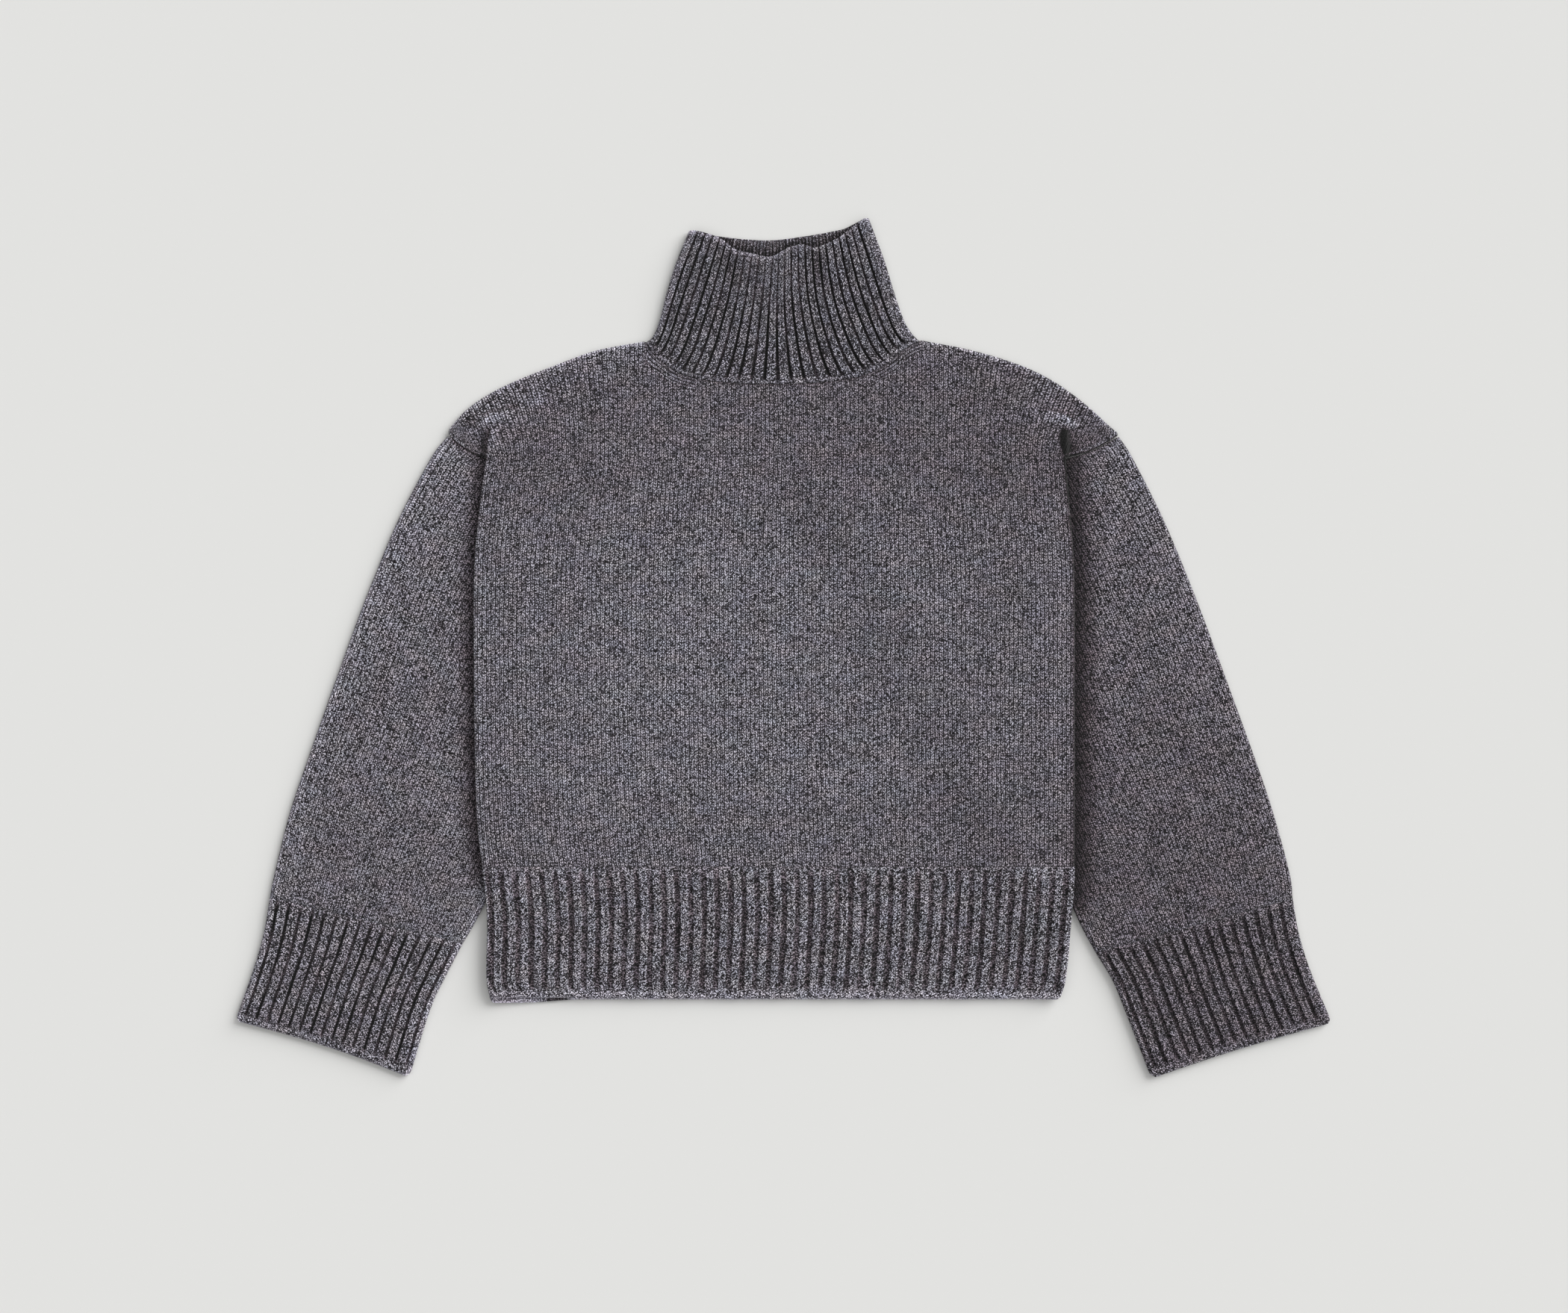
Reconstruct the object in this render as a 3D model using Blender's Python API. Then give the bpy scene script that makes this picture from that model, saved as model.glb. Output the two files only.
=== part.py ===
"""Turtleneck sweater, laid flat with its front up and the inner half of each sleeve tucked under the body.

X runs across the chest, +Y towards the collar and +Z up from the surface that the sweater rests on.
Every size below is in millimetres and becomes metres when a mesh is made.
"""

import math
from collections import namedtuple

import bpy

MM = 0.001

# Cloth
WALL = 2.8  # one layer of plain knit
LAYER_GAP = 0.4  # between two layers that lie on each other
SEAM_GAP = 0.3  # between two pieces at a seam
DOUBLE = 2.0 * WALL + LAYER_GAP  # front and back together, or a flattened sleeve
EDGE_ROUND = 3.2  # width of the rounding along a folded edge
EDGE_DROP = 2.1  # how far that rounding falls
RIB_EDGE_DROP = 1.6  # the same on the hem
SEAM_DROP = 0.5  # how far a piece dips where it is linked to the next

# Ribbing, two knit wales and one purl wale to a repeat
RIB_WALL = 2.4  # cloth under the ribs
RIB_HEIGHT = 1.3
RIB_SHOULDER = 0.22  # share of a repeat that each slope of the purl groove takes
HEM_RIBS = 44
CUFF_RIBS = 16
COLLAR_RIBS = 27

# Levels along Y
HEM_TOP = -190.0  # where the hem rib meets the plain knit
HEM_END = -305.5
BACK_HEM_LIP = 0.7  # how far the back's edge shows below the front's
BACK_HEM_SAG = 3.0  # how much more it shows at the left
BACK_SAG_X = -170.0  # where that starts
BACK_SAG_RUN = 60.0  # over what width it grows
FOLD_TOP = 165.0  # where the body's side edge leaves the armhole seam

# Sizes of the slopes under the body
SLEEVE_SLOPE = 70.0  # width of the slope where the body comes down beside a tucked sleeve
SLEEVE_EASE = 11.0  # how far beyond the sleeve's edge the cloth stays at its full height
ARMHOLE_SLOPE = 32.0  # the same above the armhole, at the fold
UNDERARM_SLOPE = 80.0  # and at the underarm
FOLD_STEP = 5.0  # width of the steep side of the fold at the pinch

# Outlines: x, y of the points that the shape needs
Spot = namedtuple("Spot", "x y")
SideRow = namedtuple("SideRow", "y left right")
Crease = namedtuple("Crease", "x0 y0 x1 y1 height width")
SleeveRow = namedtuple("SleeveRow", "outer_x outer_y inner_x inner_y")
SleeveFold = namedtuple("SleeveFold", "across start end height")
HemLevel = namedtuple("HemLevel", "y rib rise")
TubeLevel = namedtuple("TubeLevel", "share rib rise")

HEM_LEVELS = [
    HemLevel(HEM_END, 0.0, -1.2),
    HemLevel(HEM_END + 3.0, 0.0, 1.0),
    HemLevel(HEM_END + 6.0, 0.15, 0.0),
    HemLevel(HEM_END + 8.5, 1.0, 0.0),
    HemLevel(-267.0, 1.0, 0.0),
    HemLevel(-228.0, 1.0, 0.0),
    HemLevel(HEM_TOP - 3.8, 1.0, 0.0),
    HemLevel(HEM_TOP - SEAM_GAP, 0.25, -SEAM_DROP),
]

BODY_SIDES = [
    SideRow(-306.0, -254.0, 240.0),
    SideRow(-289.0, -257.5, 245.0),
    SideRow(-236.0, -257.0, 250.0),
    SideRow(-203.0, -260.0, 252.5),
    SideRow(-151.0, -266.0, 253.0),
    SideRow(-54.0, -268.5, 253.0),
    SideRow(69.0, -268.5, 252.5),
    SideRow(128.0, -263.0, 248.0),
    SideRow(FOLD_TOP, -258.0, 245.0),
]

SHOULDER_LEFT = [
    Spot(-292.0, 187.5),
    Spot(-288.0, 193.0),
    Spot(-276.0, 206.0),
    Spot(-258.0, 219.0),
    Spot(-232.0, 232.0),
    Spot(-199.0, 245.0),
    Spot(-163.0, 258.0),
    Spot(-121.0, 266.0),
]
SHOULDER_RIGHT = [
    Spot(120.0, 267.0),
    Spot(165.0, 258.0),
    Spot(207.0, 245.0),
    Spot(234.0, 232.0),
    Spot(253.0, 219.0),
    Spot(269.0, 206.0),
    Spot(283.0, 193.0),
    Spot(292.0, 185.5),
]
FRONT_NECK = [
    Spot(-121.0, 266.0),
    Spot(-110.0, 252.0),
    Spot(-86.0, 236.5),
    Spot(-41.0, 229.5),
    Spot(-11.0, 229.0),
    Spot(21.0, 229.5),
    Spot(54.0, 233.0),
    Spot(75.0, 238.5),
    Spot(92.0, 248.0),
    Spot(105.0, 259.0),
    Spot(120.0, 267.0),
]
BACK_NECK = [Spot(-121.0, 266.0), Spot(-60.0, 258.0), Spot(0.0, 256.0), Spot(60.0, 258.5), Spot(120.0, 267.0)]

# Armhole seams, from the shoulder tip inward; past the body's side edge they run under it
ARMHOLE_LEFT = [
    Spot(-292.0, 186.5),
    Spot(-281.0, 175.5),
    Spot(-262.0, 166.0),
    Spot(-180.0, 143.0),
    Spot(-84.0, 115.0),
]
ARMHOLE_RIGHT = [
    Spot(292.0, 184.5),
    Spot(270.0, 172.0),
    Spot(247.0, 165.0),
    Spot(180.0, 144.0),
    Spot(84.0, 115.0),
]

ARMHOLE_EASE = 0.8  # clearance along the armhole's curve
ARMHOLE_REACH = 0.28  # share of the sleeve over which that curve fades out

# Sleeves, from the armhole to the rib; the inner edge is hidden under the body down to y = -223
SLEEVE_LEFT = [
    SleeveRow(-292.0, 186.5, -84.0, 115.0),
    SleeveRow(-306.0, 167.0, -98.0, 88.0),
    SleeveRow(-333.0, 115.0, -124.0, 37.0),
    SleeveRow(-355.0, 63.0, -151.0, -14.0),
    SleeveRow(-375.0, 11.0, -177.0, -65.0),
    SleeveRow(-412.0, -93.0, -222.0, -152.0),
    SleeveRow(-429.5, -145.0, -245.5, -196.0),
    SleeveRow(-442.5, -197.0, -268.0, -239.0),
    SleeveRow(-446.5, -217.0, -278.5, -257.0),
]
CUFF_LEFT = [
    SleeveRow(-446.5, -217.0, -278.5, -257.0),
    SleeveRow(-453.0, -249.0, -294.0, -287.0),
    SleeveRow(-462.5, -281.0, -307.0, -315.0),
    SleeveRow(-476.5, -324.0, -325.0, -373.5),
]
SLEEVE_RIGHT = [
    SleeveRow(292.0, 184.5, 84.0, 115.0),
    SleeveRow(303.0, 167.0, 97.0, 88.0),
    SleeveRow(329.0, 115.0, 122.0, 37.0),
    SleeveRow(351.0, 63.0, 148.0, -14.0),
    SleeveRow(371.0, 11.0, 173.0, -65.0),
    SleeveRow(409.0, -93.0, 217.0, -152.0),
    SleeveRow(426.5, -145.0, 238.5, -196.0),
    SleeveRow(440.5, -197.0, 258.0, -240.0),
    SleeveRow(443.0, -218.0, 271.5, -265.0),
]
CUFF_RIGHT = [
    SleeveRow(443.0, -218.0, 271.5, -265.0),
    SleeveRow(448.5, -249.0, 286.5, -290.0),
    SleeveRow(458.5, -281.0, 298.0, -318.0),
    SleeveRow(477.0, -326.0, 320.0, -374.5),
]

# Collar: its silhouette from the neck up to the top, and its two top edges
COLLAR_LEFT = [
    Spot(-121.0, 266.0),
    Spot(-115.0, 271.0),
    Spot(-109.0, 284.0),
    Spot(-101.5, 310.0),
    Spot(-92.5, 336.0),
    Spot(-81.0, 363.0),
]
COLLAR_RIGHT = [
    Spot(120.0, 267.0),
    Spot(114.0, 273.0),
    Spot(107.0, 284.0),
    Spot(97.0, 310.0),
    Spot(88.0, 336.0),
    Spot(73.0, 373.5),
]
COLLAR_FRONT_TOP = [
    Spot(-81.0, 363.0),
    Spot(-67.0, 360.0),
    Spot(-54.0, 355.0),
    Spot(-42.0, 346.0),
    Spot(-26.0, 342.0),
    Spot(-11.0, 339.5),
    Spot(4.0, 347.0),
    Spot(15.0, 350.0),
    Spot(28.0, 347.5),
    Spot(47.0, 355.5),
    Spot(62.0, 367.0),
    Spot(73.0, 374.5),
]
COLLAR_BACK_TOP = [
    Spot(-81.0, 363.0),
    Spot(-56.0, 357.5),
    Spot(-16.0, 354.0),
    Spot(8.0, 356.0),
    Spot(51.0, 363.5),
    Spot(62.0, 368.5),
    Spot(73.0, 374.5),
]
COLLAR_TOP_THICKNESS = 8.6  # the two layers part a little at the open top
COLLAR_WAVES = 2.6  # soft waves across the front's open edge
COLLAR_CREST = 0.16  # share across at which the first one stands
COLLAR_WAVE_HEIGHT = 0.9
COLLAR_INSET = 0.015  # share of the front's width that the bend at each side takes
INNER_RIB_HEIGHT = 0.6  # ribs on the inside of the back, which shows at the open top
COLLAR_EASE = 0.4  # clearance along the neckline's curve
COLLAR_CORNER = 1.8  # clearance for the bends at the neck's two corners

# Largest folds of the front: soft ridges in cloth that lies loose on the back
FRONT_CREASES = [
    Crease(-258.0, 197.0, -212.0, 216.0, 2.0, 9.0),
    Crease(246.0, 199.0, 196.0, 212.0, 2.0, 9.0),
    Crease(-262.0, -57.0, -120.0, -60.0, 0.9, 8.0),
    Crease(-262.0, -125.0, -112.0, -121.0, 0.8, 8.0),
    Crease(-236.0, 140.0, -232.0, -150.0, 1.3, 20.0),
    Crease(228.0, 150.0, 232.0, -170.0, 1.4, 18.0),
    Crease(-130.0, 190.0, -90.0, 60.0, 0.5, 24.0),
    Crease(128.0, 195.0, 84.0, 50.0, 0.5, 24.0),
    Crease(120.0, -40.0, 240.0, -66.0, 0.8, 12.0),
    Crease(-90.0, -150.0, 90.0, -158.0, 0.7, 16.0),
]

LEFT_FOLDS = [SleeveFold(0.2, 0.36, 0.9, 1.4), SleeveFold(0.4, 0.66, 0.99, 1.0)]
RIGHT_FOLDS = [SleeveFold(0.8, 0.36, 0.92, 1.4), SleeveFold(0.6, 0.68, 0.99, 1.0)]

# Tones of the marled wool, as linear colours
BODY_TONE = (0.134, 0.127, 0.150)
SLEEVE_TONE = (0.122, 0.114, 0.135)
RIB_TONE = (0.098, 0.088, 0.103)
WOOL_ROUGHNESS = 0.95


def clear_scene():
    """Remove whatever the scene holds."""
    for item in list(bpy.context.scene.objects):
        bpy.data.objects.remove(item, do_unlink=True)


def smooth(value):
    """Ease from 0 to 1 as value goes from 0 to 1."""
    t = min(1.0, max(0.0, value))
    return t * t * (3.0 - 2.0 * t)


def blend(a, b, t):
    """Mix two numbers."""
    return a + (b - a) * t


def even_shares(count):
    """Evenly spaced shares from 0 to 1."""
    return [i / count for i in range(count + 1)]


def curve_value(knots, values, at):
    """Read a smooth curve through values at the rising knots."""
    last = len(knots) - 1
    if at <= knots[0]:
        return values[0]
    if at >= knots[last]:
        return values[last]
    k = 0
    while at > knots[k + 1]:
        k += 1
    span = knots[k + 1] - knots[k]

    def slope(i):
        low = max(0, i - 1)
        high = min(last, i + 1)
        return (values[high] - values[low]) / (knots[high] - knots[low])

    t = (at - knots[k]) / span
    square = t * t
    cube = square * t
    start = (2.0 * cube - 3.0 * square + 1.0) * values[k] + (cube - 2.0 * square + t) * span * slope(k)
    end = (3.0 * square - 2.0 * cube) * values[k + 1] + (cube - square) * span * slope(k + 1)
    return start + end


def line_y(spots, x):
    """Height of an outline over x; the outline runs one way along X."""
    ordered = spots if spots[0].x < spots[-1].x else spots[::-1]
    return curve_value([s.x for s in ordered], [s.y for s in ordered], x)


def chord_knots(spots):
    """Distance along an outline at each of its points."""
    knots = [0.0]
    for a, b in zip(spots, spots[1:]):
        knots.append(knots[-1] + math.hypot(b.x - a.x, b.y - a.y))
    return knots


def along(spots, share):
    """Point at a share of an outline's length."""
    knots = chord_knots(spots)
    at = share * knots[-1]
    return Spot(curve_value(knots, [s.x for s in spots], at), curve_value(knots, [s.y for s in spots], at))


def neck_point(neck, share):
    """Point at a share of a neckline, on the straight stretches between the panel's columns."""
    step = min(NECK_STEPS - 1, int(share * NECK_STEPS))
    a = along(neck, step / NECK_STEPS)
    b = along(neck, (step + 1) / NECK_STEPS)
    t = share * NECK_STEPS - step
    return Spot(blend(a.x, b.x, t), blend(a.y, b.y, t))


def table_row(table, share):
    """Read a table of sections at a share of its length, column by column."""
    knots = [i / (len(table) - 1) for i in range(len(table))]
    return type(table[0])(*[curve_value(knots, list(column), share) for column in zip(*table)])


def side_edges(y):
    """Left and right edge of the body at a height."""
    knots = [row.y for row in BODY_SIDES]
    left = curve_value(knots, [row.left for row in BODY_SIDES], y)
    right = curve_value(knots, [row.right for row in BODY_SIDES], y)
    return left, right


def side_of_line(start, end, x, y):
    """Signed distance from a line, positive on the right of its direction."""
    run_x = end.x - start.x
    run_y = end.y - start.y
    return ((x - start.x) * run_y - (y - start.y) * run_x) / math.hypot(run_x, run_y)


def tuck_height(x, y):
    """Height of the cloth's lower side over the floor, which the tucked sleeves lift."""
    height = 0.0
    for sign, armhole, sleeve in ((-1.0, ARMHOLE_LEFT, SLEEVE_LEFT), (1.0, ARMHOLE_RIGHT, SLEEVE_RIGHT)):
        underarm = Spot(sleeve[0].inner_x, sleeve[0].inner_y)
        wrist = Spot(sleeve[-1].inner_x, sleeve[-1].inner_y)
        inside = -sign * side_of_line(underarm, wrist, x, y)
        below = -sign * side_of_line(armhole[2], underarm, x, y)
        edge = side_edges(min(y, FOLD_TOP))[0 if sign < 0 else 1]
        past_fold = (edge - x) * sign
        lift = smooth((inside + SLEEVE_EASE) / SLEEVE_SLOPE + 1.0)
        inward = (x - armhole[2].x) / (underarm.x - armhole[2].x)
        slope = blend(ARMHOLE_SLOPE, UNDERARM_SLOPE, smooth(inward))
        lift *= smooth((below + SLEEVE_EASE) / slope + 1.0)
        lift *= smooth(past_fold / FOLD_STEP + 1.0)
        height = max(height, lift * (DOUBLE + LAYER_GAP))
    return height


def crease_lift(x, y):
    """Height that the soft folds add to the front."""
    lift = 0.0
    for fold in FRONT_CREASES:
        run_x = fold.x1 - fold.x0
        run_y = fold.y1 - fold.y0
        length = math.hypot(run_x, run_y)
        share = ((x - fold.x0) * run_x + (y - fold.y0) * run_y) / (length * length)
        away = side_of_line(Spot(fold.x0, fold.y0), Spot(fold.x1, fold.y1), x, y) / fold.width
        if 0.0 < share < 1.0:
            lift += fold.height * math.sin(math.pi * share) * math.exp(-away * away)
    return lift


def rib_profile(share):
    """Height of a rib, 0 in the purl groove and 1 on the knit wales, over one repeat."""
    place = share % 1.0
    return min(1.0, min(place, 1.0 - place) / RIB_SHOULDER)


def rib_shares(count):
    """Shares of a width at which the ribs' corners lie."""
    shares = []
    for rib in range(count):
        for corner in (0.0, RIB_SHOULDER, 1.0 - RIB_SHOULDER):
            shares.append((rib + corner) / count)
    shares.append(1.0)
    return shares


def make_object(name, vertices, faces, tone):
    """Make one named piece of wool from points in millimetres."""
    mesh = bpy.data.meshes.new(name)
    mesh.from_pydata([(x * MM, y * MM, z * MM) for x, y, z in vertices], [], faces)
    mesh.update()
    material = bpy.data.materials.new(name + "_wool")
    material.use_nodes = True
    shader = material.node_tree.nodes["Principled BSDF"]
    shader.inputs["Base Color"].default_value = (*tone, 1.0)
    shader.inputs["Roughness"].default_value = WOOL_ROUGHNESS
    shader.inputs["Metallic"].default_value = 0.0
    mesh.materials.append(material)
    piece = bpy.data.objects.new(name, mesh)
    bpy.context.scene.collection.objects.link(piece)
    mesh.shade_smooth()
    mesh.set_sharp_from_angle(angle=math.radians(35.0))
    return piece


def make_layer(name, rows, tone):
    """Close a sheet of cloth from rows of (upper, lower) point pairs; None leaves a cell out."""
    vertices = []
    index = {}
    for r, row in enumerate(rows):
        for c, pair in enumerate(row):
            if pair is not None:
                index[r, c] = len(vertices)
                vertices.extend(pair)
    faces = []
    rims = {}
    for r in range(len(rows) - 1):
        for c in range(len(rows[r]) - 1):
            corners = [(r, c), (r, c + 1), (r + 1, c + 1), (r + 1, c)]
            if any(corner not in index for corner in corners):
                continue
            top = [index[corner] for corner in corners]
            for half in ((top[0], top[1], top[2]), (top[0], top[2], top[3])):
                faces.append(half)
                faces.append(tuple(i + 1 for i in reversed(half)))
            for a, b in zip(top, top[1:] + top[:1]):
                if (b, a) in rims:
                    del rims[b, a]
                else:
                    rims[a, b] = True
    faces.extend((b, a, a + 1, b + 1) for a, b in rims)
    return make_object(name, vertices, faces, tone)


def panel_columns():
    """X of the panels' columns at the height where the body's side edges start."""
    left, right = side_edges(FOLD_TOP)
    neck = [neck_point(FRONT_NECK, i / NECK_STEPS).x for i in range(NECK_STEPS + 1)]
    near_left = left + EDGE_COLUMN
    near_right = right - EDGE_COLUMN
    columns = [left, left + EDGE_ROUND, near_left]
    columns += [blend(near_left, neck[0], i / CHEST_STEPS) for i in range(1, CHEST_STEPS)]
    columns += neck
    columns += [blend(neck[-1], near_right, i / CHEST_STEPS) for i in range(1, CHEST_STEPS)]
    columns += [near_right, right - EDGE_ROUND, right]
    return columns


def cap_columns():
    """X of the columns that carry the shoulders past the body's side edges, left and right."""
    left, right = side_edges(FOLD_TOP)
    left_tip = ARMHOLE_LEFT[0].x + CAP_INSET
    right_tip = ARMHOLE_RIGHT[0].x - CAP_INSET
    left_cap = [blend(left_tip, left - FOLD_STEP, share) for share in even_shares(LEFT_CAP_STEPS)]
    right_cap = [blend(right + FOLD_STEP, right_tip, share) for share in even_shares(RIGHT_CAP_STEPS)]
    return left_cap, right_cap


def upper_edge(x, neck):
    """Shoulder or neck outline over x."""
    if x < neck[0].x:
        return line_y(SHOULDER_LEFT, x)
    if x > neck[-1].x:
        return line_y(SHOULDER_RIGHT, x)
    spots = [neck_point(neck, i / NECK_STEPS) for i in range(NECK_STEPS + 1)]
    k = max(i for i in range(NECK_STEPS) if spots[i].x <= x + SEAM_GAP)
    t = (x - spots[k].x) / (spots[k + 1].x - spots[k].x)
    return blend(spots[k].y, spots[k + 1].y, t)


NECK_STEPS = 20  # columns of a body panel across the neck
CHEST_STEPS = 7  # and between the neck and each side edge
EDGE_COLUMN = 9.0  # distance of the third column from the side edge
CAP_INSET = 1.5  # distance of a shoulder's last column from its tip
LEFT_CAP_STEPS = 5
RIGHT_CAP_STEPS = 7
LOWER_SHARES = [0.0, 0.012, 0.09, 0.18, 0.28, 0.37, 0.46, 0.55, 0.64, 0.73, 0.8, 0.86, 0.91, 0.955]
UPPER_SHARES = [0.0, 0.16, 0.33, 0.5, 0.66, 0.82]


def panel_points(neck, pair_at):
    """Rows of point pairs over a whole body panel, from the hem rib up to the shoulders and neck."""
    columns = panel_columns()
    left_cap, right_cap = cap_columns()
    left, right = side_edges(FOLD_TOP)
    rows = []
    for share in LOWER_SHARES:
        y = blend(HEM_TOP, FOLD_TOP, share)
        low, high = side_edges(y)
        row = [None] * len(left_cap)
        for x_top in columns:
            across = (x_top - left) / (right - left)
            edge = smooth(min(across, 1.0 - across) * (right - left) / EDGE_ROUND)
            seam = smooth((y - HEM_TOP) / EDGE_ROUND)
            drop = EDGE_DROP * (1.0 - edge) + SEAM_DROP * (1.0 - seam)
            row.append(pair_at(blend(low, high, across), y, drop))
        rows.append(row + [None] * len(right_cap))
    for share in [*UPPER_SHARES, None, 1.0]:
        row = []
        for x in left_cap + columns + right_cap:
            top = upper_edge(x, neck)
            bottom = FOLD_TOP
            if x < left:
                bottom = line_y(ARMHOLE_LEFT, x) + SEAM_GAP
            if x > right:
                bottom = line_y(ARMHOLE_RIGHT, x) + SEAM_GAP
            if share is None:
                y = top - min(EDGE_ROUND, 0.3 * (top - bottom))
            else:
                y = blend(bottom, top, share)
            drop = 0.0
            at_neck = neck[0].x < x < neck[-1].x
            if share == 1.0:
                drop = SEAM_DROP if at_neck else EDGE_DROP
            if share == 0.0 and (x < left or x > right):
                drop = SEAM_DROP
            if share == 0.0 and x in (left, right):
                drop = 0.5 * EDGE_DROP
            row.append(pair_at(x, y, drop))
        rows.append(row)
    return rows


def front_pair(x, y, drop):
    """Upper and lower point of the front's cloth."""
    low = tuck_height(x, y) + WALL + LAYER_GAP + crease_lift(x, y)
    return (x, y, low + WALL - drop), (x, y, low)


def back_pair(x, y, drop):
    """Upper and lower point of the back's cloth."""
    low = tuck_height(x, y)
    lift = drop if drop > SEAM_DROP else 0.0
    return (x, y, low + WALL), (x, y, low + lift)


def hem_end(front, x):
    """Y of the hem's lower edge over x."""
    if front:
        return HEM_END
    return HEM_END - BACK_HEM_LIP - BACK_HEM_SAG * smooth((BACK_SAG_X - x) / BACK_SAG_RUN)


def make_hem(name, front):
    """Hem rib of the front (ribs on top) or of the back (plain, it rests on the floor)."""
    shares = rib_shares(HEM_RIBS) if front else even_shares(HEM_RIBS)
    rows = []
    for level in HEM_LEVELS:
        low_x, high_x = side_edges(level.y)
        row = []
        for share in shares:
            x = blend(low_x, high_x, share)
            y = hem_end(front, x) if level.y == HEM_END else level.y
            base = tuck_height(x, y)
            edge = smooth(min(share, 1.0 - share) * (high_x - low_x) / EDGE_ROUND)
            if front:
                low = base + WALL + LAYER_GAP
                high = low + RIB_WALL + RIB_HEIGHT * level.rib * rib_profile(share * HEM_RIBS)
                high += level.rise - RIB_EDGE_DROP * (1.0 - edge)
                row.append(((x, y, high), (x, y, low)))
            else:
                row.append(((x, y, base + WALL), (x, y, base + RIB_EDGE_DROP * (1.0 - edge))))
        rows.append(row)
    return make_layer(name, rows, RIB_TONE)


def ring_places(front_shares, back_shares):
    """Places round a flattened tube: layer (1 front, 0 back, between in a bend), share across, bulge."""
    places = [(1.0, share, 0.0) for share in front_shares]
    for angle in (45.0, 0.0, -45.0):
        places.append((0.5 + 0.5 * math.sin(math.radians(angle)), 1.0, math.cos(math.radians(angle))))
    places += [(0.0, share, 0.0) for share in reversed(back_shares)]
    for angle in (-45.0, 0.0, 45.0):
        places.append((0.5 + 0.5 * math.sin(math.radians(angle)), 0.0, -math.cos(math.radians(angle))))
    return places


def make_tube(name, tone, shares, places, plan, thickness, front_relief, back_relief, lift):
    """Flattened tube of cloth, open at both ends.

    shares go from the tube's start to its end; plan gives x, y for a layer, a share across and a share along.
    """
    vertices = []
    for inner in (False, True):
        for v in shares:
            thick = thickness(v)
            for layer, u, bulge in places:
                x, y = plan(layer, u, v)
                left = plan(layer, 0.0, v)
                right = plan(layer, 1.0, v)
                span = math.hypot(right[0] - left[0], right[1] - left[1])
                reach = 0.5 * thick - (WALL if inner else 0.0)
                x += bulge * reach * (right[0] - left[0]) / span
                y += bulge * reach * (right[1] - left[1]) / span
                z = 0.5 * thick + (2.0 * layer - 1.0) * reach
                if layer == 1.0:
                    z += lift(u, v)
                    z += 0.0 if inner else front_relief(u, v)
                if layer == 0.0 and inner:
                    z += back_relief(u, v)
                vertices.append((x, y, z))
    count = len(places)
    rows = len(shares)
    faces = []
    shift = rows * count
    for r in range(rows - 1):
        for c in range(count):
            a = r * count + c
            b = r * count + (c + 1) % count
            faces.append((a, a + count, b + count, b))
            faces.append((a + shift, b + shift, b + count + shift, a + count + shift))
    for r, turn in ((0, False), (rows - 1, True)):
        for c in range(count):
            a = r * count + c
            b = r * count + (c + 1) % count
            face = (a, b, b + shift, a + shift)
            faces.append(tuple(reversed(face)) if turn else face)
    rises = plan(1.0, 0.5, 1.0)[1] > plan(1.0, 0.5, 0.0)[1]
    if rises:
        faces = [tuple(reversed(face)) for face in faces]
    return make_object(name, vertices, faces, tone)


def limb_plan(table, armhole, inset):
    """Plan of a sleeve or cuff, whose shares across run from its left edge in plan to its right edge."""
    flip = table[0].outer_x > 0.0

    def plan(_layer, u, v):
        row = table_row(table, v)
        across = 1.0 - u if flip else u
        width = math.hypot(row.inner_x - row.outer_x, row.inner_y - row.outer_y)
        share = (inset + across * (width - 2.0 * inset)) / width
        x = blend(row.outer_x, row.inner_x, share)
        y = blend(row.outer_y, row.inner_y, share)
        if armhole:
            first = table[0]
            start_x = blend(first.outer_x, first.inner_x, share)
            start_y = blend(first.outer_y, first.inner_y, share)
            y += (line_y(armhole, start_x) - ARMHOLE_EASE - start_y) * max(0.0, 1.0 - v / ARMHOLE_REACH)
        return x, y

    return plan


SLEEVE_FOLD_WIDTH = 0.09  # share of the sleeve's width
SLEEVE_ROWS = [0.0, 0.05, 0.12, 0.2, 0.27, 0.34, 0.42, 0.49, 0.56, 0.63, 0.71, 0.78, 0.85, 0.93, 1.0]
SLEEVE_SHARES = [0.0, 0.03, 0.06, 0.09, 0.12, 0.17, 0.24, 0.33, 0.44, 0.55, 0.66, 0.77, 0.89, 0.95, 1.0]


def make_sleeve(name, table, armhole, folds):
    """Plain sleeve between the armhole seam and the cuff."""
    across = SLEEVE_SHARES if table[0].outer_x < 0.0 else [1.0 - share for share in reversed(SLEEVE_SHARES)]
    places = ring_places(across, across[::2])

    def lift(u, v):
        rise = 0.0
        for fold in folds:
            if fold.start < v < fold.end:
                swell = math.sin(math.pi * (v - fold.start) / (fold.end - fold.start))
                rise += fold.height * swell * math.exp(-(((u - fold.across) / SLEEVE_FOLD_WIDTH) ** 2))
        return rise

    return make_tube(
        name,
        SLEEVE_TONE,
        SLEEVE_ROWS,
        places,
        limb_plan(table, armhole, 0.5 * DOUBLE),
        lambda v: DOUBLE,
        lambda u, v: 0.0,
        lambda u, v: 0.0,
        lift,
    )


CUFF_LEVELS = [
    TubeLevel(0.0, 0.2, 0.0),
    TubeLevel(0.035, 1.0, 0.0),
    TubeLevel(0.35, 1.0, 0.0),
    TubeLevel(0.65, 1.0, 0.0),
    TubeLevel(0.925, 1.0, 0.0),
    TubeLevel(0.95, 0.1, 0.1),
    TubeLevel(0.975, 0.0, 0.9),
    TubeLevel(1.0, 0.0, -0.6),
]


def gap_share(table):
    """Share of a cuff's length that the gap at its seam takes."""
    first = table[0]
    last = table[-1]
    length = math.hypot(last.outer_x - first.outer_x, last.outer_y - first.outer_y)
    return SEAM_GAP / length


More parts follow.
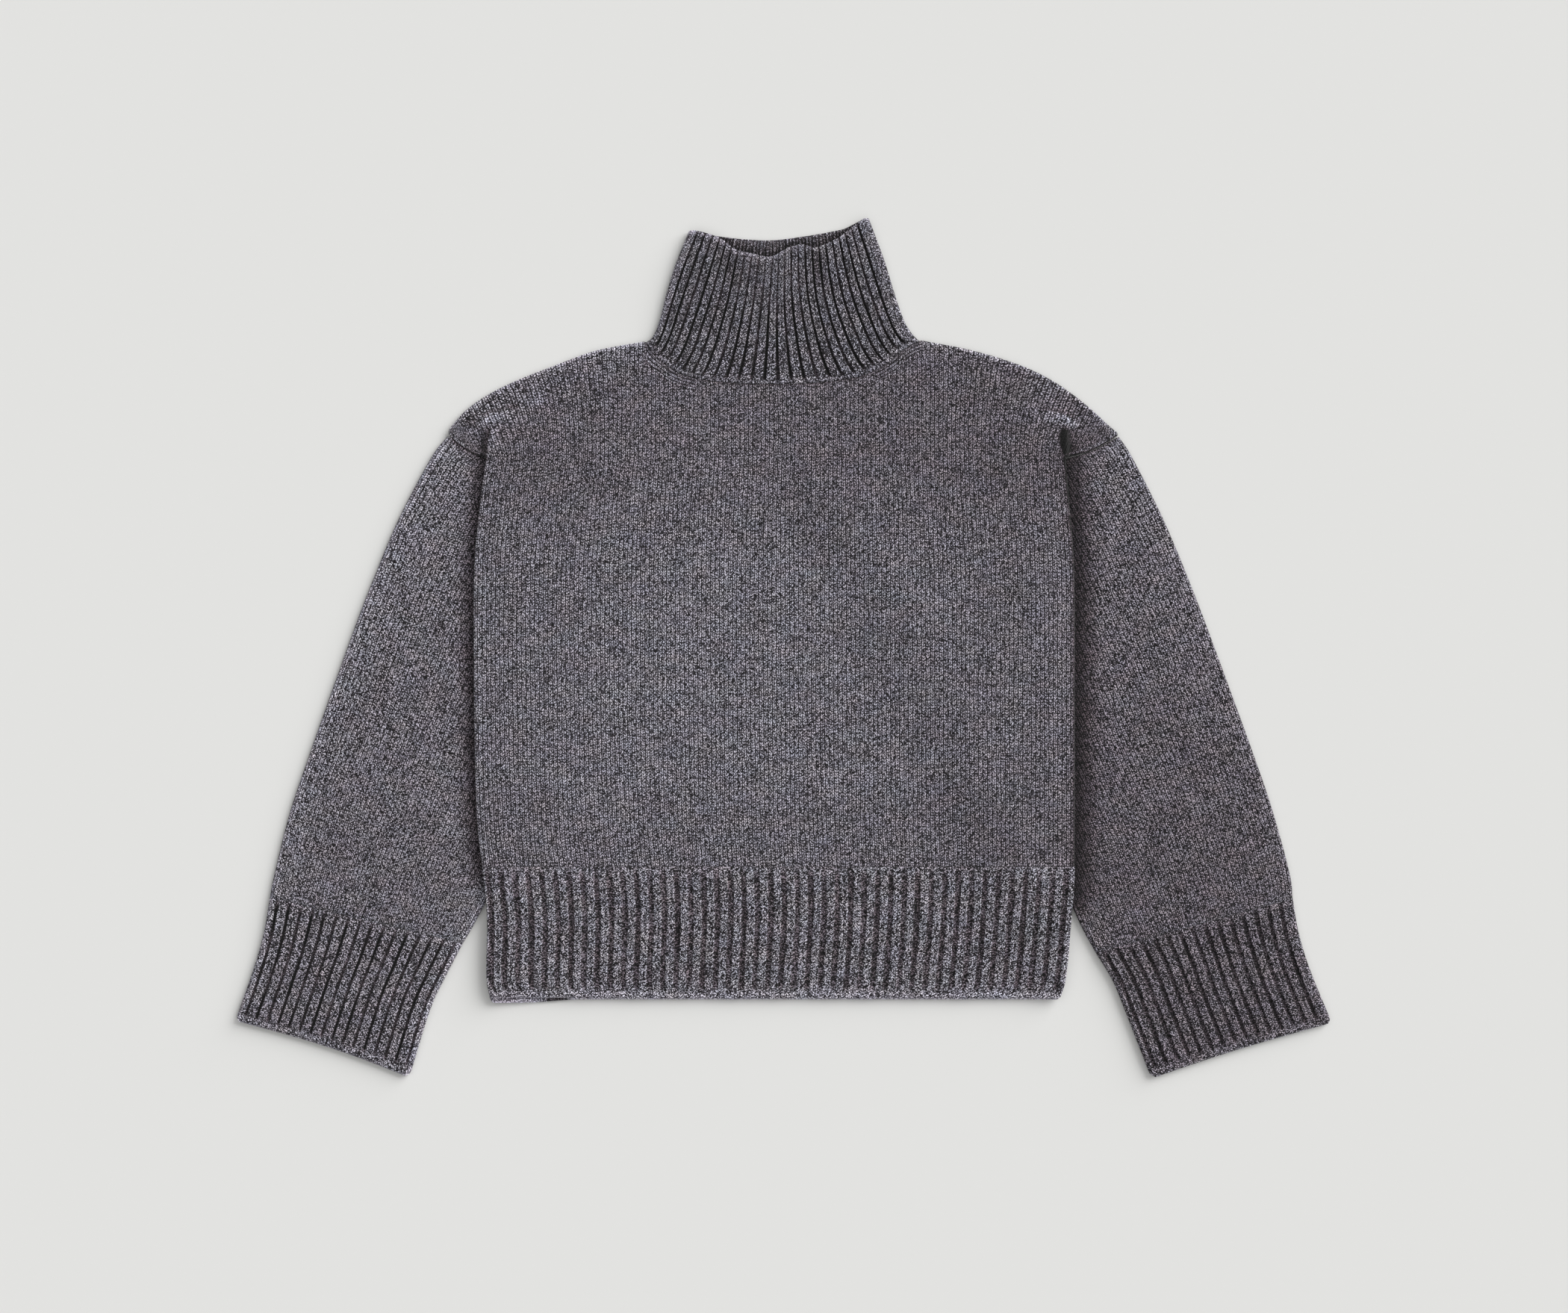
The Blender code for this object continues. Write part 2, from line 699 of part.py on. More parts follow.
def make_cuff(name, table):
    """Ribbed cuff with a rolled edge."""
    levels = {level.share: level for level in CUFF_LEVELS}
    shares = [level.share for level in CUFF_LEVELS]
    shares[0] = gap_share(table)
    levels[shares[0]] = CUFF_LEVELS[0]
    places = ring_places(rib_shares(CUFF_RIBS), even_shares(8))

    def relief(u, v):
        level = levels[v]
        return RIB_HEIGHT * level.rib * rib_profile(u * CUFF_RIBS) + level.rise - (WALL - RIB_WALL)

    return make_tube(
        name,
        RIB_TONE,
        shares,
        places,
        limb_plan(table, None, 0.5 * DOUBLE),
        lambda v: DOUBLE,
        relief,
        lambda u, v: 0.0,
        lambda u, v: 0.0,
    )


COLLAR_LEVELS = [
    TubeLevel(0.0, 0.2, 0.0),
    TubeLevel(0.03, 1.0, 0.0),
    TubeLevel(0.2, 1.0, 0.0),
    TubeLevel(0.4, 1.0, 0.0),
    TubeLevel(0.6, 1.0, 0.0),
    TubeLevel(0.8, 1.0, 0.0),
    TubeLevel(0.93, 1.0, 0.0),
    TubeLevel(0.97, 0.6, 0.0),
    TubeLevel(1.0, 0.2, 0.0),
]


def side_bow(side, v):
    """How far a side of the collar stands off the straight line between its two ends."""
    x = blend(side[0].x, side[-1].x, v)
    y = blend(side[0].y, side[-1].y, v)
    return curve_value([s.y for s in side], [s.x for s in side], y) - x


def make_collar():
    """Turtleneck collar: a flattened tube of rib whose front dips at the top, so its back shows inside."""
    levels = {level.share: level for level in COLLAR_LEVELS}
    places = ring_places(rib_shares(COLLAR_RIBS), rib_shares(COLLAR_RIBS))

    def plan(layer, u, v):
        across = COLLAR_INSET + u * (1.0 - 2.0 * COLLAR_INSET)
        points = []
        for neck, top in ((BACK_NECK, COLLAR_BACK_TOP), (FRONT_NECK, COLLAR_FRONT_TOP)):
            low = neck_point(neck, across)
            high = along(top, across)
            points.append((blend(low.x, high.x, v), blend(low.y, high.y, v)))
        bow = side_bow(COLLAR_LEFT, v) * max(0.0, 1.0 - 2.0 * u)
        bow += side_bow(COLLAR_RIGHT, v) * max(0.0, 2.0 * u - 1.0)
        x = blend(points[0][0], points[1][0], layer) + bow
        y = blend(points[0][1], points[1][1], layer)
        corner = math.exp(-min(u, 1.0 - u) / COLLAR_INSET)
        return x, y + (SEAM_GAP + COLLAR_EASE + COLLAR_CORNER * corner) * (1.0 - v)

    def relief(u, v):
        return RIB_HEIGHT * levels[v].rib * rib_profile(u * COLLAR_RIBS) - (WALL - RIB_WALL)

    def inner_relief(u, v):
        return INNER_RIB_HEIGHT * (levels[v].rib * rib_profile(u * COLLAR_RIBS) - 0.5)

    def lift(u, v):
        wave = math.cos(math.tau * (u - COLLAR_CREST) * COLLAR_WAVES) * smooth(2.0 * v - 0.9)
        return COLLAR_WAVE_HEIGHT * max(0.0, wave) * math.sin(math.pi * u)

    return make_tube(
        "collar",
        RIB_TONE,
        [level.share for level in COLLAR_LEVELS],
        places,
        plan,
        lambda v: blend(DOUBLE, COLLAR_TOP_THICKNESS, smooth(v)),
        relief,
        inner_relief,
        lift,
    )


def main():
    """Make every piece of the sweater."""
    clear_scene()
    make_layer("front_panel", panel_points(FRONT_NECK, front_pair), BODY_TONE)
    make_layer("back_panel", panel_points(BACK_NECK, back_pair), BODY_TONE)
    make_hem("front_hem_rib", True)
    make_hem("back_hem_rib", False)
    make_collar()
    make_sleeve("sleeve_left", SLEEVE_LEFT, ARMHOLE_LEFT, LEFT_FOLDS)
    make_sleeve("sleeve_right", SLEEVE_RIGHT, ARMHOLE_RIGHT, RIGHT_FOLDS)
    make_cuff("cuff_left", CUFF_LEFT)
    make_cuff("cuff_right", CUFF_RIGHT)


if __name__ == "__main__":
    main()
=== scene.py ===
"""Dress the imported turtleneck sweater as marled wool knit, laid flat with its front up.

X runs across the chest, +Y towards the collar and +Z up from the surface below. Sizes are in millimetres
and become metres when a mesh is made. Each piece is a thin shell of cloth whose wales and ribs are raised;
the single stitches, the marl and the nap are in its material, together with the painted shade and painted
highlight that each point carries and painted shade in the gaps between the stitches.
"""

import logging
import math
from dataclasses import dataclass
from enum import Enum
from typing import Callable, NamedTuple, Optional, Sequence

import bpy
import numpy as np
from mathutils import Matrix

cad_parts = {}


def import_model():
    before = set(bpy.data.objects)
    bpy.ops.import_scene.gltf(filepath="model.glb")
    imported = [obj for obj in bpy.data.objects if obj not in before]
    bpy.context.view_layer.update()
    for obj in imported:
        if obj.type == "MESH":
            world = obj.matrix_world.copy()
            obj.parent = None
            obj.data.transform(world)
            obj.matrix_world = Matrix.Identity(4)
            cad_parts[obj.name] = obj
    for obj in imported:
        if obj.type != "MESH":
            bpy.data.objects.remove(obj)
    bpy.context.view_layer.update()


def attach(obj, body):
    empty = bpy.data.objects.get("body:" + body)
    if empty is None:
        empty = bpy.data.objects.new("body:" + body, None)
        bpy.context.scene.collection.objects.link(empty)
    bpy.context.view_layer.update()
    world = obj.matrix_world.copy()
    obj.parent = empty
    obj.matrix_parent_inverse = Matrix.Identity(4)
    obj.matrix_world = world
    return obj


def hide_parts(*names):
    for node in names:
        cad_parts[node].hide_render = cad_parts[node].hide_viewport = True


Array = np.ndarray
Socket = bpy.types.NodeSocket
Colour = tuple[float, float, float]

LOG = logging.getLogger("sweater")
MM = 0.001
SHADE = "shade"  # point attribute: shade painted on the cloth, up to 1 in the darkest creases and grooves; below 0, painted highlight

# Cloth
WALL = 2.8  # one layer of plain knit
LAYER_GAP = 0.4  # between two layers that lie on each other
SEAM_GAP = 0.3  # between two pieces at a seam
DOUBLE = 2.0 * WALL + LAYER_GAP  # front and back together, or a flattened sleeve
EDGE_ROUND = 3.2  # width of the rounding along a folded edge
EDGE_DROP = 2.1  # how far that rounding falls
RIB_EDGE_DROP = 1.6  # the same on the hem
SEAM_DROP = 0.5  # how far a piece dips where it is linked to the next
RIB_WALL = 2.4  # cloth under the ribs
RIB_HEIGHT = 1.3
BACK_GROOVE = 0.8  # depth of the purl grooves on a side that rests flat
FLAT = 0.99  # a tube's front lies flat where its "up" is above this, and its back where it is below -FLAT

# Stitches
WALE = 3.8  # width of one column of stitches
COURSE = 2.45  # height of one row of stitches
WALE_RELIEF = 0.42  # how far a column of stitches stands over the groove beside it

# Levels along Y
HEM_TOP = -190.0  # where the hem rib meets the plain knit
HEM_END = -305.5
FOLD_TOP = 165.0  # where the body's side edge leaves the armhole seam

# Slopes of the body over the tucked sleeves
SLEEVE_SLOPE = 70.0  # width of the slope where the body comes down beside a tucked sleeve
SLEEVE_EASE = 11.0  # how far beyond the sleeve's edge the cloth stays at its full height
ARMHOLE_SLOPE = 32.0  # the same above the armhole, at the fold
UNDERARM_SLOPE = 80.0  # and at the underarm
FOLD_STEP = 5.0  # width of the steep side of the fold at the pinch


class Spot(NamedTuple):
    """A point of an outline."""

    x: float
    y: float


class SideRow(NamedTuple):
    """The body's left and right edge at one height."""

    y: float
    left: float
    right: float


class SleeveRow(NamedTuple):
    """The outer and inner edge of a sleeve at one section."""

    outer_x: float
    outer_y: float
    inner_x: float
    inner_y: float


class Crease(NamedTuple):
    """A soft ridge, or a trough where its height is negative, along a straight run."""

    x0: float
    y0: float
    x1: float
    y1: float
    height: float
    width: float


class Stroke(NamedTuple):
    """A soft mark along a bent line: its width at both ends, its shade (light below 0) and its height."""

    path: list[Spot]
    start_width: float
    end_width: float
    shade: float
    lift: float


class Level(NamedTuple):
    """Relief of a ribbed piece at one distance from its end: share of the rib's height, and extra height."""

    place: float
    rib: float
    rise: float


class Side(Enum):
    """The sweater's two sides, seen from above, by the sign of X."""

    LEFT = -1
    RIGHT = 1


class Knit(Enum):
    """The four knits, by the name of the material that each is made in."""

    BODY = "body_knit"
    SLEEVE = "sleeve_knit"
    RIB = "rib_knit"
    COLLAR = "collar_knit"


def spots(*pairs: tuple[float, float]) -> list[Spot]:
    """Spots from their X and Y."""
    return [Spot(*pair) for pair in pairs]


BODY_SIDES = [
    SideRow(-306.0, -254.0, 240.0),
    SideRow(-289.0, -257.5, 245.0),
    SideRow(-236.0, -257.0, 250.0),
    SideRow(-203.0, -260.0, 252.5),
    SideRow(-151.0, -266.0, 253.0),
    SideRow(-54.0, -268.5, 253.0),
    SideRow(69.0, -268.5, 252.5),
    SideRow(128.0, -263.0, 248.0),
    SideRow(FOLD_TOP, -258.0, 245.0),
]
FOLD_LEFT = BODY_SIDES[-1].left  # where the side edges end
FOLD_RIGHT = BODY_SIDES[-1].right
SHOULDER_LEFT = spots(
    (-292.0, 187.5), (-288.0, 193.0), (-276.0, 206.0), (-258.0, 219.0), (-232.0, 232.0), (-199.0, 245.0),
    (-163.0, 258.0), (-121.0, 266.0),
)
SHOULDER_RIGHT = spots(
    (120.0, 267.0), (165.0, 258.0), (207.0, 245.0), (234.0, 232.0), (253.0, 219.0), (269.0, 206.0),
    (283.0, 193.0), (292.0, 185.5),
)
FRONT_NECK = spots(
    (-121.0, 266.0), (-110.0, 252.0), (-86.0, 236.5), (-41.0, 229.5), (-11.0, 229.0), (21.0, 229.5),
    (54.0, 233.0), (75.0, 238.5), (92.0, 248.0), (105.0, 259.0), (120.0, 267.0),
)
BACK_NECK = spots(
    (-121.0, 266.0), (-60.0, 258.0), (0.0, 256.0), (60.0, 258.5), (120.0, 267.0),
)
ARMHOLE_LEFT = spots(
    (-292.0, 186.5), (-281.0, 175.5), (-262.0, 166.0), (-180.0, 143.0), (-84.0, 115.0),
)
ARMHOLE_RIGHT = spots(
    (292.0, 184.5), (270.0, 172.0), (247.0, 165.0), (180.0, 144.0), (84.0, 115.0),
)
SLEEVE_LEFT = [
    SleeveRow(-292.0, 186.5, -84.0, 115.0),
    SleeveRow(-306.0, 167.0, -98.0, 88.0),
    SleeveRow(-333.0, 115.0, -124.0, 37.0),
    SleeveRow(-355.0, 63.0, -151.0, -14.0),
    SleeveRow(-375.0, 11.0, -177.0, -65.0),
    SleeveRow(-412.0, -93.0, -222.0, -152.0),
    SleeveRow(-429.5, -145.0, -245.5, -196.0),
    SleeveRow(-442.5, -197.0, -268.0, -239.0),
    SleeveRow(-446.5, -217.0, -278.5, -257.0),
]
CUFF_LEFT = [
    SLEEVE_LEFT[-1],
    SleeveRow(-452.0, -249.0, -294.0, -287.0),
    SleeveRow(-461.2, -281.0, -307.0, -315.0),
    SleeveRow(-476.5, -324.0, -325.0, -373.5),
]
SLEEVE_RIGHT = [
    SleeveRow(292.0, 184.5, 84.0, 115.0),
    SleeveRow(303.0, 167.0, 97.0, 88.0),
    SleeveRow(329.0, 115.0, 122.0, 37.0),
    SleeveRow(351.0, 63.0, 148.0, -14.0),
    SleeveRow(371.0, 11.0, 173.0, -65.0),
    SleeveRow(409.0, -93.0, 217.0, -152.0),
    SleeveRow(426.5, -145.0, 238.5, -196.0),
    SleeveRow(440.5, -197.0, 258.0, -240.0),
    SleeveRow(443.0, -218.0, 271.5, -265.0),
]
CUFF_RIGHT = [
    SLEEVE_RIGHT[-1],
    SleeveRow(448.5, -249.0, 286.5, -290.0),
    SleeveRow(458.5, -281.0, 298.0, -318.0),
    SleeveRow(477.0, -326.0, 320.0, -374.5),
]
COLLAR_LEFT = spots(
    (-121.0, 266.0), (-115.0, 271.0), (-109.0, 284.0), (-101.5, 310.0), (-92.5, 336.0), (-81.0, 363.0),
)
COLLAR_RIGHT = spots(
    (120.0, 267.0), (114.0, 273.0), (107.0, 284.0), (97.0, 310.0), (88.0, 336.0), (73.0, 373.5),
)
COLLAR_FRONT_TOP = spots(
    (-81.0, 363.0), (-67.0, 360.0), (-54.0, 355.0), (-42.0, 346.0), (-26.0, 342.0), (-11.0, 339.5),
    (4.0, 347.0), (15.0, 350.0), (28.0, 347.5), (47.0, 355.5), (62.0, 367.0), (73.0, 374.5),
)
COLLAR_BACK_TOP = spots(
    (-81.0, 363.0), (-56.0, 357.5), (-16.0, 354.0), (8.0, 356.0), (51.0, 363.5), (62.0, 368.5),
    (73.0, 374.5),
)


def smooth(value: Array) -> Array:
    """Ease from 0 to 1 as value goes from 0 to 1."""
    t = np.clip(value, 0.0, 1.0)
    return t * t * (3.0 - 2.0 * t)


def blend(a: Array, b: Array, t: Array) -> Array:
    """Mix two values."""
    return a + (b - a) * t


def bell(distance: Array, width: Array | float, power: float = 2.0) -> Array:
    """Soft hump: 1 where the distance is 0, falling away over the width, squarer with a higher power."""
    return np.exp(-((distance / width) ** power))


def round_drop(distance: Array, radius: float) -> Array:
    """Fall of a rounded edge, 1 at the edge and 0 from radius inward, as a quarter circle."""
    inward = np.clip(distance / radius, 0.0, 1.0)
    return 1.0 - np.sqrt(np.clip(1.0 - (1.0 - inward) ** 2, 0.0, 1.0))


def curve_value(knots: Sequence[float], values: Sequence, at: Array) -> Array:
    """Read a smooth curve through values at rising knots.

    Args:
        knots: Rising places of the values.
        values: One number or one row of numbers for each knot.
        at: Places to read.

    Returns:
        The curve's values, with a last axis of columns where values has one.
    """
    knot = np.asarray(knots, float)
    table = np.asarray(values, float)
    single = table.ndim == 1
    if single:
        table = table[:, None]
    order = np.arange(len(knot))
    low = np.maximum(order - 1, 0)
    high = np.minimum(order + 1, len(knot) - 1)
    slope = (table[high] - table[low]) / (knot[high] - knot[low])[:, None]
    place = np.clip(np.asarray(at, float), knot[0], knot[-1])
    k = np.clip(np.searchsorted(knot, place, side="right") - 1, 0, len(knot) - 2)
    span = (knot[k + 1] - knot[k])[..., None]
    t = (place - knot[k])[..., None] / span
    start = (2.0 * t**3 - 3.0 * t**2 + 1.0) * table[k] + (t**3 - 2.0 * t**2 + t) * span * slope[k]
    end = (3.0 * t**2 - 2.0 * t**3) * table[k + 1] + (t**3 - t**2) * span * slope[k + 1]
    result = start + end
    return result[..., 0] if single else result


class Outline:
    """A smooth line through spots, read along its length or over X."""

    SAMPLES = 600

    def __init__(self, spots: Sequence[Spot]) -> None:
        """Measure the line through the spots."""
        self.spots = np.array([(s.x, s.y) for s in spots])
        steps = np.hypot(*np.diff(self.spots, axis=0).T)
        self.knots = np.concatenate([[0.0], np.cumsum(steps)])
        line = self.at(np.linspace(0.0, 1.0, self.SAMPLES))
        self.line = line[np.argsort(line[:, 0])]

    def at(self, share: Array) -> Array:
        """Points at shares of the line's length."""
        return curve_value(self.knots, self.spots, np.asarray(share) * self.knots[-1])

    def y_over(self, x: Array) -> Array:
        """Height of the line over x."""
        return np.interp(x, self.line[:, 0], self.line[:, 1])


def by_side(up: Array, front: Array, back: Array) -> Array:
    """Value round a flattened tube: the front's where up is 1, the back's where it is -1, none in between."""
    return np.clip(up, 0.0, 1.0) * front + np.clip(-up, 0.0, 1.0) * back


def level_relief(levels: Sequence[Level], place: Array) -> tuple[Array, Array]:
    """Share of the ribs' height, and extra height, at a distance from a ribbed piece's end."""
    table = curve_value([level.place for level in levels], levels, place)
    return table[..., 1], table[..., 2]


def side_of_line(start: Sequence[float], end: Sequence[float], x: Array, y: Array) -> Array:
    """Signed distance from a line, positive on the right of its direction."""
    run_x = end[0] - start[0]
    run_y = end[1] - start[1]
    return ((x - start[0]) * run_y - (y - start[1]) * run_x) / math.hypot(run_x, run_y)


def side_edges(y: Array) -> tuple[Array, Array]:
    """Left and right edge of the body at each height."""
    rows = curve_value([row.y for row in BODY_SIDES], BODY_SIDES, y)
    return rows[..., 1], rows[..., 2]


def tuck_height(x: Array, y: Array) -> Array:
    """Height over the floor to which the tucked sleeves lift the cloth's lower side."""
    height = np.zeros(np.broadcast(x, y).shape)
    limbs = ((-1.0, ARMHOLE_LEFT, SLEEVE_LEFT), (1.0, ARMHOLE_RIGHT, SLEEVE_RIGHT))
    for sign, armhole, sleeve in limbs:
        underarm = sleeve[0][2:]
        wrist = sleeve[-1][2:]
        inside = -sign * side_of_line(underarm, wrist, x, y)
        below = -sign * side_of_line(armhole[2], underarm, x, y)
        edge = side_edges(np.minimum(y, FOLD_TOP))[0 if sign < 0 else 1]
        past_fold = (edge - x) * sign
        inward = (x - armhole[2].x) / (underarm[0] - armhole[2].x)
        slope = blend(ARMHOLE_SLOPE, UNDERARM_SLOPE, smooth(inward))
        lift = smooth((inside + SLEEVE_EASE) / SLEEVE_SLOPE + 1.0)
        lift = lift * smooth((below + SLEEVE_EASE) / slope + 1.0)
        lift = lift * smooth(past_fold / FOLD_STEP + 1.0)
        height = np.maximum(height, lift * (DOUBLE + LAYER_GAP))
    return height


def crease_lift(creases: Sequence[Crease], x: Array, y: Array) -> Array:
    """Height that soft folds add to a layer."""
    lift = np.zeros(np.broadcast(x, y).shape)
    for fold in creases:
        run_x = fold.x1 - fold.x0
        run_y = fold.y1 - fold.y0
        share = ((x - fold.x0) * run_x + (y - fold.y0) * run_y) / (run_x**2 + run_y**2)
        away = side_of_line((fold.x0, fold.y0), (fold.x1, fold.y1), x, y) / fold.width
        swell = np.sin(np.pi * np.clip(share, 0.0, 1.0)) ** 1.2
        lift += fold.height * swell * bell(away, 1.0)
    return lift


def stroke_share(stroke: Stroke, x: Array, y: Array) -> Array:
    """Strength of a stroke: 1 along its line, falling to 0 beside it and at its ends."""
    steps = [math.hypot(b.x - a.x, b.y - a.y) for a, b in zip(stroke.path[:-1], stroke.path[1:])]
    best = np.full(np.broadcast(x, y).shape, 1e9)
    place = np.zeros(best.shape)
    before = 0.0
    for start, end, length in zip(stroke.path[:-1], stroke.path[1:], steps):
        share = ((x - start.x) * (end.x - start.x) + (y - start.y) * (end.y - start.y)) / length**2
        share = np.clip(share, 0.0, 1.0)
        away = np.hypot(x - start.x - share * (end.x - start.x), y - start.y - share * (end.y - start.y))
        nearer = away < best
        place = np.where(nearer, before + share * length, place)
        best = np.minimum(best, away)
        before += length
    place = place / before
    ends = smooth(place / 0.15) * smooth((1.0 - place) / 0.15)
    return ends * bell(best, blend(stroke.start_width, stroke.end_width, place))


def fold_edges(y: Array) -> tuple[Array, Array]:
    """The body's side edges, followed up to the tops of the folds over the shoulders."""
    left, right = side_edges(np.minimum(y, FOLD_TOP))
    left = left + np.interp(y, [FOLD_TOP, 182.0, 192.0], [0.0, 1.9, 4.2])
    return left, right + np.interp(y, [FOLD_TOP, 174.0, 182.0, 192.0], [0.0, -2.6, -3.8, -1.1])


def wobble(x: Array, y: Array, phase: float) -> Array:
    """Slow unevenness from -1 to 1, as hand-smoothed cloth has."""
    wave = np.sin(x / 23.0 + phase) * np.sin(y / 31.0 + 1.7 * phase)
    wave = wave + 0.7 * np.sin(x / 11.0 - y / 47.0 + 2.3 * phase)
    wave = wave + 0.5 * np.sin(y / 9.5 + x / 61.0 + 0.6 * phase)
    return wave / 2.2


def wale_relief(wale: Array) -> Array:
    """Height across plain knit: 0 in the groove between two wales, 1 on a wale's two legs."""
    edge = np.abs(2.0 * (wale - np.floor(wale)) - 1.0)
    return 1.0 - 0.45 * bell(edge, 0.3) - bell(1.0 - edge, 0.35)


@dataclass(frozen=True)
class RibPattern:
    """Two knit wales and one purl wale to a repeat, with the purl wale sunk between the ribs."""

    repeats: float
    purl_half: float  # half the purl wale's width, as a share of a repeat
    phase: float = 0.0  # place of the first purl groove, in repeats
    soft: float = 0.09  # share of a repeat over which a groove's side rises
    # how dark the painted shade in the purl grooves is
    groove_shade: float = 0.5

    def shares(self) -> Array:
        """Shares of the width at which a row of points lies."""
        half = [0.0, 0.05, 0.1, 0.15, 0.2, 0.27, 0.35, 0.43]
        cell = np.array(half + [0.5] + [1.0 - s for s in reversed(half[1:])])
        cells = np.arange(-1.0, self.repeats + 1.0)[:, None] + cell[None, :] + self.phase
        inside = cells.ravel() / self.repeats
        inside = inside[(inside > 0.02 / self.repeats) & (inside < 1.0 - 0.02 / self.repeats)]
        return np.concatenate([[0.0], inside, [1.0]])

    def off_groove(self, share: Array) -> Array:
        """Distance from the nearest purl groove's middle, in repeats."""
        place = share * self.repeats - self.phase
        return np.abs(place - np.round(place))

    def inset(self, share: Array) -> Array:
        """Distance from the nearer edge of a piece in this rib."""
        return np.minimum(share, 1.0 - share) * self.repeats * 3.0 * WALE

    def relief(self, share: Array) -> Array:
        """Height across the ribs: 0 in a purl groove and 1 on a rib."""
        place = self.off_groove(share)
        rise = smooth((place - self.purl_half + 0.5 * self.soft) / self.soft)
        return rise * (1.0 - 0.22 * bell(place - 0.5, 0.07))

    def darkness(self, share: Array, along: Array) -> Array:
        """Painted shade in the grooves at a distance along them: 0 on a rib, and uneven from groove to
        groove.
        """
        place = self.off_groove(share)
        groove = np.round(share * self.repeats - self.phase)
        uneven = 1.0 + 0.13 * np.sin(2.4 * groove) + 0.1 * np.sin(along / 8.0 + 1.9 * groove)
        width = self.purl_half * (1.0 + 0.12 * np.sin(1.7 * groove + along / 21.0))
        return self.groove_shade * uneven * (1.0 - smooth((place - width + 0.03) / 0.06))

    def wales(self, share: Array) -> Array:
        """Wale coordinate: in each three, 0 to 2 are knit and 2 to 3 is purl."""
        place = share * self.repeats - self.phase
        cell = np.floor(place)
        part = place - cell
        half = self.purl_half
        knots = [0.0, half, 0.5, 1.0 - half, 1.0]
        return 3.0 * cell + np.interp(part, knots, [-0.5, 0.0, 1.0, 2.0, 2.5])


# ---------------------------------------------------------------- meshes


class Rect(NamedTuple):
    """A rectangle of the bake layout."""

    x0: float
    y0: float
    x1: float
    y1: float

    def spread(self, across: Array, along: Array) -> Array:
        """Lay shares across and along into the rectangle."""
        u = self.x0 + (self.x1 - self.x0) * across
        v = self.y0 + (self.y1 - self.y0) * along
        return np.stack(np.broadcast_arrays(u, v), axis=-1)


@dataclass
class Rim:
    """One edge of a grid, ready to be sewn to another."""

    index: Array
    knit: Array
    place: Array


@dataclass
class Grid:
    """Vertices of one side of the cloth, by row and column."""

    index: Array
    knit: Array
    across: Array
    along: Array

    def row(self, number: int, start: int = 0, stop: Optional[int] = None) -> Rim:
        """Edge along a row, or part of it."""
        part = slice(start, stop)
        return Rim(self.index[number, part], self.knit[number, part], self.across[part])

    def column(self, number: int) -> Rim:
        """Edge along a column."""
        return Rim(self.index[:, number], self.knit[:, number], self.along)


